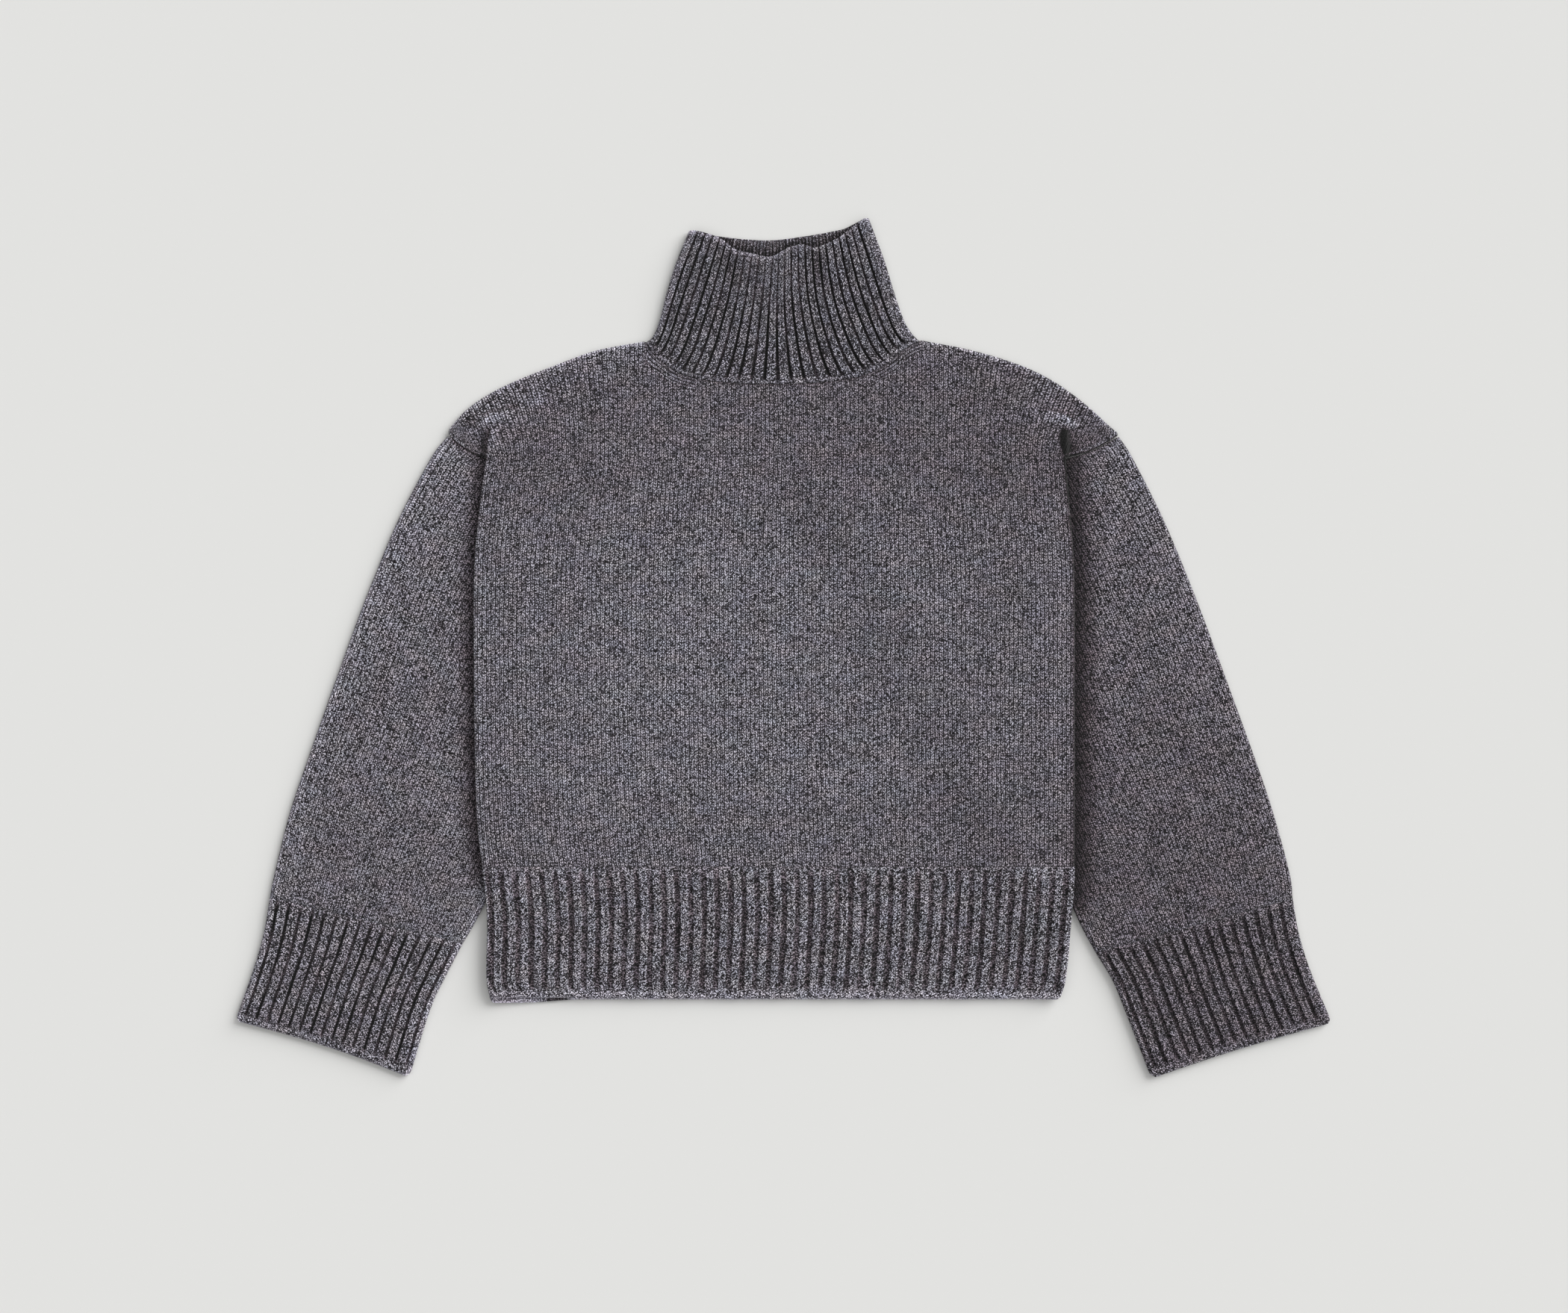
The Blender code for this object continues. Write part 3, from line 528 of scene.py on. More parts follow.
class Draft:
    """Collects the grids and strips of one piece and makes its mesh."""

    LANE = 0.004  # height of one strip in the bake layout
    LANES_FROM = 0.94

    def __init__(self) -> None:
        """Start with nothing."""
        self.points: list[Array] = []
        self.shades: list[Array] = []
        self.count = 0
        self.loops: list[Array] = []
        self.sizes: list[Array] = []
        self.knit: list[Array] = []
        self.bake: list[Array] = []
        self.lanes = 0

    def add_points(self, points: Array, shade: Optional[Array] = None) -> Array:
        """Add points in millimetres, and the shade painted on each, and return their numbers."""
        flat = points.reshape(-1, 3)
        self.points.append(flat)
        self.shades.append(np.zeros(len(flat)) if shade is None else shade.ravel())
        numbers = np.arange(self.count, self.count + len(flat))
        self.count += len(flat)
        return numbers.reshape(points.shape[:-1])

    def add_faces(self, faces: Array, knit: Array, bake: Array) -> None:
        """Add faces with as many corners each, and their corners' layouts."""
        self.loops.append(faces.ravel())
        self.sizes.append(np.full(len(faces), faces.shape[1]))
        self.knit.append(knit.reshape(-1, 2))
        self.bake.append(bake.reshape(-1, 2))

    def grid(
        self,
        points: Array,
        knit: Array,
        bake: Array,
        across: Array,
        along: Array,
        closed: bool = False,
        flip: bool = False,
        banded: Optional[tuple[Array, Array]] = None,
        shade: Optional[Array] = None,
    ) -> Grid:
        """Add one side of the cloth.

        Args:
            points: Rows of points in millimetres.
            knit: Stitch coordinates of the points; one more column where the grid is closed.
            bake: Bake layout of the points, with the same columns as knit.
            across: Place of each column, for sewing to another grid.
            along: Place of each row, for the same.
            closed: Whether the last column joins the first.
            flip: Whether the faces look the other way.
            banded: Cells that take other stitch coordinates, and those coordinates.
            shade: The shade painted on each point; below 0, painted highlight.

        Returns:
            The grid, for its edges.
        """
        index = self.add_points(points, shade)
        if closed:
            index = np.concatenate([index, index[:, :1]], axis=1)

        def corners(table: Array) -> Array:
            """Values at the four corners of every cell, in the order of its face."""
            ring = [table[:-1, :-1], table[:-1, 1:], table[1:, 1:], table[1:, :-1]]
            if flip:
                ring.reverse()
            return np.stack(ring, axis=2)

        faces = corners(index).reshape(-1, 4)
        stitches = corners(knit)
        if banded is not None:
            cells, other = banded
            stitches = np.where(cells[:, :, None, None], corners(other), stitches)
        self.add_faces(faces, stitches, corners(bake))
        return Grid(index, knit, across, along)

    def strip(self, first: Rim, second: Rim, flip: bool = False) -> None:
        """Sew two rims together, whatever their numbers of points.

        Args:
            first: Edge of the upper or outer side.
            second: Edge of the lower or inner side.
            flip: Whether the faces look the other way.
        """
        i = 0
        j = 0
        faces = []
        picks = []
        while i < len(first.index) - 1 or j < len(second.index) - 1:
            step_first = j == len(second.index) - 1
            if not step_first and i < len(first.index) - 1:
                step_first = first.place[i + 1] <= second.place[j + 1]
            if step_first:
                faces.append((first.index[i], second.index[j], first.index[i + 1]))
                picks.append(((0, i), (1, j), (0, i + 1)))
                i += 1
            else:
                faces.append((first.index[i], second.index[j], second.index[j + 1]))
                picks.append(((0, i), (1, j), (1, j + 1)))
                j += 1
        low = self.LANES_FROM + 2.0 * self.LANE * self.lanes
        self.lanes += 1
        start = min(first.place[0], second.place[0])
        length = max(first.place[-1], second.place[-1]) - start
        rims = (first, second)
        knit = np.array([[rims[side].knit[k] for side, k in pick] for pick in picks])
        laid = [[(rims[side].place[k], low + self.LANE * side) for side, k in pick] for pick in picks]
        bake = np.array(laid)
        bake[..., 0] = (bake[..., 0] - start) / length
        table = np.array(faces)
        if flip:
            table = table[:, ::-1]
            knit = knit[:, ::-1]
            bake = bake[:, ::-1]
        self.add_faces(table, knit, bake)

    def close_sheet(self, top: Grid, under: Grid) -> None:
        """Sew the upper and lower side of a sheet together along all four edges."""
        self.strip(top.row(0), under.row(0))
        self.strip(top.row(-1), under.row(-1), flip=True)
        self.strip(top.column(0), under.column(0), flip=True)
        self.strip(top.column(-1), under.column(-1))

    def turn_out(self) -> None:
        """Turn every face round if the closed shape is inside out."""
        points = np.concatenate(self.points)
        volume = 0.0
        for loops, sizes in zip(self.loops, self.sizes):
            corners = points[loops.reshape(-1, sizes[0])]
            for k in range(1, sizes[0] - 1):
                cross = np.cross(corners[:, k], corners[:, k + 1])
                volume += float(np.einsum("ij,ij->", corners[:, 0], cross))
        if volume > 0.0:
            return
        for k, sizes in enumerate(self.sizes):
            size = sizes[0]
            self.loops[k] = self.loops[k].reshape(-1, size)[:, ::-1].ravel()
            self.knit[k] = self.knit[k].reshape(-1, size, 2)[:, ::-1].reshape(-1, 2)
            self.bake[k] = self.bake[k].reshape(-1, size, 2)[:, ::-1].reshape(-1, 2)

    def make(self, name: str, material: bpy.types.Material) -> bpy.types.Object:
        """Make the mesh object.

        Args:
            name: The piece's name.
            material: Its one material.

        Returns:
            The object, linked to the scene.
        """
        self.turn_out()
        points = np.concatenate(self.points) * MM
        loops = np.concatenate(self.loops)
        sizes = np.concatenate(self.sizes)
        mesh = bpy.data.meshes.new(name)
        mesh.vertices.add(len(points))
        mesh.vertices.foreach_set("co", points.astype(np.float32).ravel())
        mesh.loops.add(len(loops))
        mesh.loops.foreach_set("vertex_index", loops.astype(np.int32))
        mesh.polygons.add(len(sizes))
        starts = np.concatenate([[0], np.cumsum(sizes)[:-1]])
        mesh.polygons.foreach_set("loop_start", starts.astype(np.int32))
        mesh.update(calc_edges=True)
        for layer_name, parts in (("knit", self.knit), ("OFBake", self.bake)):
            layer = mesh.uv_layers.new(name=layer_name)
            layer.data.foreach_set("uv", np.concatenate(parts).astype(np.float32).ravel())
        # Painted shade and painted highlight of every point, for the material to read
        dark = mesh.attributes.new(SHADE, "FLOAT", "POINT")
        dark.data.foreach_set("value", np.concatenate(self.shades).astype(np.float32))
        mesh.validate()
        mesh.shade_smooth()
        mesh.materials.append(material)
        piece = bpy.data.objects.new(name, mesh)
        bpy.context.scene.collection.objects.link(piece)
        return piece


def thinned(count: int, step: int) -> Array:
    """Every step-th number below count, always with the last."""
    picks = np.arange(0, count, step)
    return picks if picks[-1] == count - 1 else np.append(picks, count - 1)


def stack(x: Array, y: Array, z: Array) -> Array:
    """Points from their coordinates."""
    return np.stack(np.broadcast_arrays(x, y, z), axis=-1)


# ---------------------------------------------------------------- shader nodes


class NodeDesk:
    """Adds nodes to one tree and links them."""

    def __init__(self, tree: bpy.types.NodeTree) -> None:
        """Work on a tree."""
        self.tree = tree

    def node(self, kind: str) -> bpy.types.Node:
        """Add a node."""
        return self.tree.nodes.new(kind)

    def feed(self, socket: Socket, value: object) -> None:
        """Link a socket to an input, or set the input's number or colour."""
        if isinstance(value, bpy.types.NodeSocket):
            self.tree.links.new(value, socket)
        else:
            socket.default_value = value

    def math(self, operation: str, *values: object, clamp: bool = False) -> Socket:
        """Add a Math node."""
        node = self.node("ShaderNodeMath")
        node.operation = operation
        node.use_clamp = clamp
        for socket, value in zip(node.inputs, values):
            self.feed(socket, value)
        return node.outputs[0]

    def vector(self, x: object, y: object, z: object) -> Socket:
        """Join three numbers into a vector."""
        node = self.node("ShaderNodeCombineXYZ")
        for socket, value in zip(node.inputs, (x, y, z)):
            self.feed(socket, value)
        return node.outputs[0]

    def white_noise(self, vector: Socket) -> Socket:
        """Random number for each vector."""
        node = self.node("ShaderNodeTexWhiteNoise")
        node.noise_dimensions = "3D"
        self.feed(node.inputs["Vector"], vector)
        return node.outputs["Value"]

    def noise(self, vector: Socket, scale: float, detail: float, roughness: float = 0.5) -> Socket:
        """Smooth noise over a vector."""
        node = self.node("ShaderNodeTexNoise")
        self.feed(node.inputs["Vector"], vector)
        node.inputs["Scale"].default_value = scale
        node.inputs["Detail"].default_value = detail
        node.inputs["Roughness"].default_value = roughness
        return node.outputs["Fac"]

    def cells(self, vector: Socket) -> Socket:
        """Random colour of each irregular cell of a plane."""
        node = self.node("ShaderNodeTexVoronoi")
        node.voronoi_dimensions = "2D"
        self.feed(node.inputs["Vector"], vector)
        node.inputs["Scale"].default_value = 1.0
        return node.outputs["Color"]

    def mix(self, factor: object, first: object, second: object) -> Socket:
        """Mix two colours."""
        node = self.node("ShaderNodeMix")
        node.data_type = "RGBA"
        self.feed(node.inputs[0], factor)
        self.feed(node.inputs[6], first)
        self.feed(node.inputs[7], second)
        return node.outputs[2]

    def darken(self, colour: object, shade: object) -> Socket:
        """Darken a colour by a number."""
        node = self.node("ShaderNodeVectorMath")
        node.operation = "SCALE"
        self.feed(node.inputs[0], colour)
        self.feed(node.inputs["Scale"], shade)
        return node.outputs[0]

    def tint(self, colour: object, factor: object) -> Socket:
        """Multiply a colour by another."""
        node = self.node("ShaderNodeVectorMath")
        node.operation = "MULTIPLY"
        self.feed(node.inputs[0], colour)
        self.feed(node.inputs[1], factor)
        return node.outputs[0]

    def widen(self, value: Socket) -> Socket:
        """Stretch the middle of a smooth noise, from 0.3 to 0.7, over 0 to 1."""
        node = self.node("ShaderNodeMapRange")
        self.feed(node.inputs["Value"], value)
        node.inputs["From Min"].default_value = 0.3
        node.inputs["From Max"].default_value = 0.7
        return node.outputs[0]


class KnitGroups:
    """The shader groups that every knit shares, each made once."""

    def __init__(self) -> None:
        """Make the groups."""
        self.stitch = self.stitch_group()
        self.marl = self.marl_group()

    @staticmethod
    def open_group(
        name: str, inputs: Sequence[tuple[str, float]], outputs: Sequence[str]
    ) -> tuple[bpy.types.NodeTree, NodeDesk, dict[str, Socket], bpy.types.Node]:
        """Make an empty group with named sockets; an output named Tint is a colour, the rest are numbers.

        Args:
            name: The group's name.
            inputs: Name and default of each input.
            outputs: Names of the outputs.

        Returns:
            The group, a desk to work on it, its inputs by name and its output node.
        """
        group = bpy.data.node_groups.new(name, "ShaderNodeTree")
        for label, default in inputs:
            socket = group.interface.new_socket(label, in_out="INPUT", socket_type="NodeSocketFloat")
            socket.default_value = default
        for label in outputs:
            kind = "NodeSocketColor" if label == "Tint" else "NodeSocketFloat"
            group.interface.new_socket(label, in_out="OUTPUT", socket_type=kind)
        desk = NodeDesk(group)
        source = desk.node("NodeGroupInput")
        sink = desk.node("NodeGroupOutput")
        return group, desk, {label: source.outputs[label] for label, _ in inputs}, sink

    def stitch_group(self) -> bpy.types.NodeTree:
        """Shape of single stitches from stitch coordinates.

        Returns:
            A group that puts out the stitch's height, its leg's random tone and row, and the places along
            and across the leg.
        """
        inputs = [("Wale", 0.0), ("Course", 0.0), ("Leg Slope", 0.7), ("Row Jitter", 0.5), ("Ribbed", 0.0)]
        inputs += [("Sway", 0.4), ("Middle Dip", -0.5), ("Border Dip", -0.88)]
        outputs = ["Height", "Leg Tone", "Leg Row", "Along", "Across"]
        group, desk, given, sink = self.open_group("knit_stitch", inputs, outputs)
        slow_wale = desk.math("MULTIPLY", given["Wale"], 0.5)
        slow_course = desk.math("MULTIPLY", given["Course"], 0.4)
        sway = desk.math("SUBTRACT", desk.noise(desk.vector(slow_wale, slow_course, 0.0), 1.0, 1.0), 0.5)
        wale = desk.math("MULTIPLY_ADD", sway, given["Sway"], given["Wale"])
        column = desk.math("FLOOR", wale)
        part = desk.math("FRACT", wale)
        edge = desk.math("ABSOLUTE", desk.math("MULTIPLY_ADD", part, 2.0, -1.0))
        right_leg = desk.math("GREATER_THAN", part, 0.5)
        in_three = desk.math("FLOORED_MODULO", column, 3.0)
        purl = desk.math("MULTIPLY", desk.math("GREATER_THAN", in_three, 1.5), given["Ribbed"])
        keep = desk.math("SUBTRACT", 1.0, purl)
        jitter = desk.math("MULTIPLY", desk.white_noise(desk.vector(column, 3.0, 5.0)), given["Row Jitter"])
        course = desk.math("ADD", given["Course"], jitter)

        knit_line = desk.math("SUBTRACT", course, desk.math("MULTIPLY", edge, given["Leg Slope"]))
        purl_line = desk.math("MULTIPLY_ADD", edge, 0.6, course)
        line = desk.math("MULTIPLY_ADD", knit_line, keep, desk.math("MULTIPLY", purl_line, purl))
        leg = desk.math("FLOOR", line)
        across = desk.math("FRACT", line)
        centred = desk.math("ABSOLUTE", desk.math("MULTIPLY_ADD", across, 2.0, -1.0))
        body = desk.math("MULTIPLY_ADD", desk.math("POWER", centred, 3.0), -0.85, 1.0)
        middle = self.dip(desk, edge, 0.2, given["Middle Dip"])
        border = self.dip(desk, desk.math("SUBTRACT", 1.0, edge), 0.25, given["Border Dip"])
        knit_height = desk.math("MULTIPLY", desk.math("MULTIPLY", body, middle), border)
        purl_height = desk.math("MULTIPLY", body, 0.85)
        height = desk.math("MULTIPLY_ADD", knit_height, keep, desk.math("MULTIPLY", purl_height, purl))

        side = desk.math("MULTIPLY_ADD", column, 2.0, right_leg)
        own = desk.white_noise(desk.vector(side, leg, purl))
        shared = desk.math("SUBTRACT", desk.white_noise(desk.vector(column, leg, 7.0)), 0.5)
        turned = desk.math("MULTIPLY", shared, desk.math("MULTIPLY_ADD", right_leg, 2.0, -1.0))
        tone = desk.math("ADD", own, turned)
        for label, value in zip(outputs, (height, tone, leg, edge, across)):
            desk.feed(sink.inputs[label], value)
        return group

    @staticmethod
    def dip(desk: NodeDesk, distance: Socket, width: float, rise: Socket) -> Socket:
        """1, with a soft rise where a distance is 0, or a dip where the rise is below 0."""
        scaled = desk.math("DIVIDE", distance, width)
        fall = desk.math("EXPONENT", desk.math("MULTIPLY", desk.math("MULTIPLY", scaled, scaled), -1.0))
        return desk.math("MULTIPLY_ADD", fall, rise, 1.0)

    def marl_group(self) -> bpy.types.NodeTree:
        """Light and dark of a marled yarn, whose plies twist round each other and change along each course.

        Returns:
            A group that puts out the share of light wool, darkened by painted shade in the gaps between the
            legs, and a tint that drifts over the cloth.
        """
        inputs = [
            ("Wale", 0.0),
            ("Course", 0.0),
            ("Leg Tone", 0.5),
            ("Leg Row", 0.0),
            ("Along", 0.0),
            ("Across", 0.0),
            ("Height", 0.5),
            ("Lightness", 0.5),
            ("Contrast", 1.0),
            ("Gap Light", 0.1),
        ]
        group, desk, given, sink = self.open_group("marl_yarn", inputs, ["Light", "Tint"])
        wale, course = given["Wale"], given["Course"]
        along = desk.math("MULTIPLY_ADD", given["Along"], 1.3, desk.math("MULTIPLY", given["Leg Tone"], 37.0))
        leg_row = desk.math("MULTIPLY", given["Leg Row"], 5.7)
        across = desk.math("MULTIPLY_ADD", given["Across"], 2.7, leg_row)
        plies = desk.vector(along, across, 0.0)
        fine = desk.vector(wale, course, 0.0)
        flecks = desk.vector(desk.math("MULTIPLY", wale, 4.7), desk.math("MULTIPLY", course, 3.8), 0.0)
        run = desk.vector(desk.math("MULTIPLY", wale, 0.35), leg_row, 0.0)
        parts = (
            (desk.noise(plies, 1.0, 1.0), 0.5, 1.55),
            (given["Leg Tone"], 0.5, 0.3),
            (desk.noise(run, 1.0, 1.0), 0.5, 0.2),
            (desk.cells(flecks), 0.5, 2.65),
            (desk.noise(fine, 0.07, 3.0, 0.6), 0.5, 0.22),
        )
        change: object = 0.0
        for value, middle, weight in parts:
            change = desk.math("MULTIPLY_ADD", desk.math("SUBTRACT", value, middle), weight, change)
        value = desk.math("MULTIPLY_ADD", change, given["Contrast"], given["Lightness"])
        # Painted shade in the gaps between the legs: the lower the stitch, the darker its colour
        open_share = desk.math("SUBTRACT", 1.0, given["Gap Light"])
        lit = desk.math("MULTIPLY_ADD", given["Height"], open_share, given["Gap Light"])
        desk.feed(sink.inputs["Light"], desk.math("MULTIPLY", value, lit, clamp=True))

        shifted = desk.vector(desk.math("ADD", course, 71.0), wale, 9.0)
        warm_to_cool = desk.widen(desk.noise(fine, 0.16, 3.0, 0.6))
        rose_to_green = desk.widen(desk.noise(shifted, 0.11, 2.0))
        blue = desk.mix(warm_to_cool, (1.035, 0.985, 0.97, 1.0), (0.945, 0.985, 1.05, 1.0))
        green = desk.mix(rose_to_green, (1.005, 0.98, 1.015, 1.0), (0.99, 1.015, 0.99, 1.0))
        desk.feed(sink.inputs["Tint"], desk.tint(blue, green))
        return group


@dataclass(frozen=True)
class MarlFinish:
    """Tones and relief of one marled knit."""

    knit: Knit
    groups: KnitGroups
    lightness: float
    contrast: float = 1.0
    # share of the colour left in the painted shade of the gaps between stitch legs
    gap_light: float = 0.08
    ribbed: bool = False
    dark: Colour = (0.005, 0.004, 0.005)
    dim: Colour = (0.034, 0.030, 0.036)
    middle: Colour = (0.142, 0.133, 0.157)
    light: Colour = (0.62, 0.60, 0.66)
    crease: Colour = (1.0, 0.78, 0.82)  # tint of the painted shade: what is left of each colour where shade is painted, before it darkens
    bump: float = 0.8
    depth: float = 0.7  # millimetres from a gap to the top of a leg
    roughness: float = 0.92
    nap: float = 0.1  # sheen of the fibres that stand off
    rim_light: float = 0.3  # how much the marl is lightened under painted highlight, partly as the fuzz on a lit rim covers it

    def material(self) -> bpy.types.Material:
        """Make the material.

        Returns:
            A material whose colour and bump follow the piece's stitch coordinates, and whose colour also
            takes the shade and highlight painted on its points.
        """
        material = bpy.data.materials.new(self.knit.value)
        material.use_nodes = True
        desk = NodeDesk(material.node_tree)
        shader = material.node_tree.nodes["Principled BSDF"]
        layout = desk.node("ShaderNodeUVMap")
        layout.uv_map = "knit"
        split = desk.node("ShaderNodeSeparateXYZ")
        desk.feed(split.inputs[0], layout.outputs[0])
        wale, course = split.outputs[0], split.outputs[1]

        stitch = desk.node("ShaderNodeGroup")
        stitch.node_tree = self.groups.stitch
        desk.feed(stitch.inputs["Wale"], wale)
        desk.feed(stitch.inputs["Course"], course)
        if self.ribbed:
            rib_stitch = {"Ribbed": 1.0, "Sway": 0.25, "Middle Dip": -0.25, "Border Dip": -0.35}
            for label, value in rib_stitch.items():
                stitch.inputs[label].default_value = value
        marl = desk.node("ShaderNodeGroup")
        marl.node_tree = self.groups.marl
        desk.feed(marl.inputs["Wale"], wale)
        desk.feed(marl.inputs["Course"], course)
        for label in ("Leg Tone", "Leg Row", "Along", "Across", "Height"):
            desk.feed(marl.inputs[label], stitch.outputs[label])
        # Painted shade from the points; its part below 0 is painted highlight, which also lightens and calms
        # the marl
        shade = desk.node("ShaderNodeAttribute")
        shade.attribute_name = SHADE
        painted_shade = shade.outputs["Fac"]
        rim = desk.math("MINIMUM", painted_shade, 0.0)
        calm = desk.math("ADD", rim, 1.0, clamp=True)
        desk.feed(marl.inputs["Contrast"], desk.math("MULTIPLY", calm, self.contrast))
        desk.feed(marl.inputs["Lightness"], desk.math("MULTIPLY_ADD", rim, -self.rim_light, self.lightness))
        marl.inputs["Gap Light"].default_value = self.gap_light

        ramp = desk.node("ShaderNodeValToRGB")
        stops = ((0.0, self.dark), (0.22, self.dim), (0.45, self.middle), (1.0, self.light))
        ramp.color_ramp.elements.new(0.22)
        ramp.color_ramp.elements.new(0.45)
        for element, (place, colour) in zip(ramp.color_ramp.elements, stops):
            element.position = place
            element.color = (*colour, 1.0)
        desk.feed(ramp.inputs[0], marl.outputs["Light"])
        # Painted shade darkens the colour and tints it towards the crease colour; painted highlight lightens
        # it
        hue = desk.mix(painted_shade, (1.0, 1.0, 1.0, 1.0), (*self.crease, 1.0))
        lit = desk.darken(hue, desk.math("SUBTRACT", 1.0, painted_shade))
        colour = desk.tint(desk.tint(ramp.outputs[0], marl.outputs["Tint"]), lit)
        desk.feed(shader.inputs["Base Color"], colour)

        bump = desk.node("ShaderNodeBump")
        bump.inputs["Strength"].default_value = self.bump
        bump.inputs["Distance"].default_value = self.depth * MM
        desk.feed(bump.inputs["Height"], stitch.outputs["Height"])
        desk.feed(shader.inputs["Normal"], bump.outputs[0])
        shader.inputs["Roughness"].default_value = self.roughness
        shader.inputs["Specular IOR Level"].default_value = 0.25
        shader.inputs["Sheen Weight"].default_value = self.nap
        shader.inputs["Sheen Roughness"].default_value = 0.6
        return material


# ---------------------------------------------------------------- pieces


@dataclass(frozen=True)
class SideShade:
    """Painted shade and highlight at one side of the front: below 0, painted highlight where it catches the
    light.
    """

    rim: float  # on the edge of the side fold
    rim_width: float
    roll: float  # on the roll beside that edge
    roll_at: float
    roll_width: float
    wedge: float  # in the wedge between the fold's upper end and the armhole
    wedge_share: float  # its width, as a share of WEDGE_WIDTHS
    shoulder: float  # how much of the shoulder's light falls on this side


LEFT_SIDE_SHADE = SideShade(0.1, 1.0, -0.15, 3.5, 3.0, 0.62, 0.65, 1.0)
RIGHT_SIDE_SHADE = SideShade(0.72, 2.0, 0.1, 0.0, 8.0, 0.78, 1.75, 0.5)
WEDGE_FROM = 150.0
WEDGE_HEIGHTS = (163.0, 182.0, 193.0)
WEDGE_WIDTHS = (8.4, 6.2, 2.8)


@dataclass
class Panel:
    """Front or back of the body: plain knit from the hem rib to the shoulders and the neck."""

    name: str
    front: bool
    neck: list[Spot]
    creases: list[Crease]
    wales: int = 137
    per_wale: int = 4  # points across one wale
    left_cap: int = 9  # wales that run past the body's side edge to the shoulder's tip
    right_cap: int = 12
    row_step: float = 4.3
    upper_rows: int = 24
    band_rows: int = 16
    band_depth: float = 13.0  # height of the rows that follow the neck and shoulders
    band_wale: float = 2.6  # width of the wales that follow the neck's slopes
    band_wales: float = 3.5
    band_relief: float = 1.3  # how much more they are raised than the others
    band_fade: float = 1.2  # over what width they end
    fan: float = 20.0  # how far the wales lean outward to meet the shoulder
    cap_inset: float = 1.5
    coarse_columns: int = 12
    coarse_rows: int = 4
    shoulder_light: float = 0.75  # painted highlight on the shoulder's very edge
    shoulder_glow: float = 0.32  # and further in
    neck_seam: float = 0.6  # how dark the neck's seam lies
    row_dark: float = 0.9  # and the painted shade in the lines between the rows that follow it, with painted highlight over them
    row_light: float = 0.25
    armhole_seam: float = 0.75
    bead_light: float = 0.15  # painted highlight on the beads along it, and how much more at each link's middle
    bead_change: float = 0.45
    link: float = 3.6  # length of one link
    # Painted shade between the wales pulled together at the shoulders, and painted highlight over them
    stripe_dark: float = 0.62
    stripe_light: float = 0.2

    def __post_init__(self) -> None:
        """Measure the outlines."""
        self.neck_line = Outline(self.neck)
        self.left_shoulder = Outline(SHOULDER_LEFT)
        self.right_shoulder = Outline(SHOULDER_RIGHT)
        self.left_armhole = Outline(ARMHOLE_LEFT)
        self.right_armhole = Outline(ARMHOLE_RIGHT)

    def upper_edge(self, x: Array) -> Array:
        """Shoulder or neck outline over x."""
        y = self.neck_line.y_over(x)
        y = np.where(x < self.neck[0].x, self.left_shoulder.y_over(x), y)
        return np.where(x > self.neck[-1].x, self.right_shoulder.y_over(x), y)

    def surface(self, x: Array, y: Array, wale: Array, drop: Array, relief: Array) -> tuple[Array, Array]:
        """Heights of the cloth's two sides.

        Args:
            x: Places across.
            y: Places along.
            wale: Wale coordinate there.
            drop: How far the outer side falls at an edge or seam.
            relief: Height of the raised stitches there.

        Returns:
            Upper and lower height.
        """
        base = tuck_height(x, y)
        if self.front:
            low = base + WALL + LAYER_GAP + crease_lift(self.creases, x, y)
            for stroke in PINCH_STROKES:
                low = low + stroke.lift * stroke_share(stroke, x, y)
            return low + WALL - drop + relief - 0.5 * WALE_RELIEF, low
        rounding = np.where(drop > SEAM_DROP, drop, 0.0)
        return base + WALL, base + rounding + (WALE_RELIEF - relief)

    def lower_part(self) -> tuple[Array, Array, Array, Array, Array]:
        """Rows between the hem rib and the height where the side edges end.

        Returns:
            X, Y, wale coordinate, drop and relief of each point.
        """
        share = np.linspace(0.0, 1.0, self.wales * self.per_wale + 1)
        count = int((FOLD_TOP - HEM_TOP) / self.row_step) + 1
        near = HEM_TOP + np.array([-0.15, 0.8, 1.7, 2.8])
        y = np.concatenate([near, np.linspace(HEM_TOP + self.row_step, FOLD_TOP, count)])[:, None]
        low, high = side_edges(y)
        x = low + (high - low) * share
        inset = np.minimum(share, 1.0 - share) * (high - low)
        wave = wobble(x, y, 0.4) * smooth(inset / 20.0)
        strength = EDGE_DROP * (1.0 - 0.5 * smooth((y - FOLD_TOP + 16.0) / 16.0))
        drop = strength * round_drop(inset, EDGE_ROUND)
        wale = np.broadcast_to(share * self.wales, x.shape)
        return x + 0.45 * wave, np.broadcast_to(y, x.shape), wale, drop, WALE_RELIEF * wale_relief(wale)

    def upper_columns(self) -> tuple[Array, Array, Array]:
        """Columns of the rows above the side edges, with the caps past them.

        Returns:
            X and Y at the columns' lower ends, and their wale coordinate.
        """
        left, right = side_edges(np.array(FOLD_TOP))
        share = np.linspace(0.0, 1.0, self.wales * self.per_wale + 1)
        body = left + (right - left) * share
        left_tip = ARMHOLE_LEFT[0].x + self.cap_inset
        right_tip = ARMHOLE_RIGHT[0].x - self.cap_inset
        left_count = self.left_cap * self.per_wale
        right_count = self.right_cap * self.per_wale
        left_cap = np.linspace(left_tip, left, left_count + 1)[:-1]
        right_cap = np.linspace(right, right_tip, right_count + 1)[1:]
        x = np.concatenate([left_cap, body, right_cap])
        y = np.full(len(x), FOLD_TOP)
        y[:left_count] = self.left_armhole.y_over(left_cap) + SEAM_GAP
        y[-right_count:] = self.right_armhole.y_over(right_cap) + SEAM_GAP
        wale = (np.arange(len(x)) - left_count) / self.per_wale
        return x, y, wale

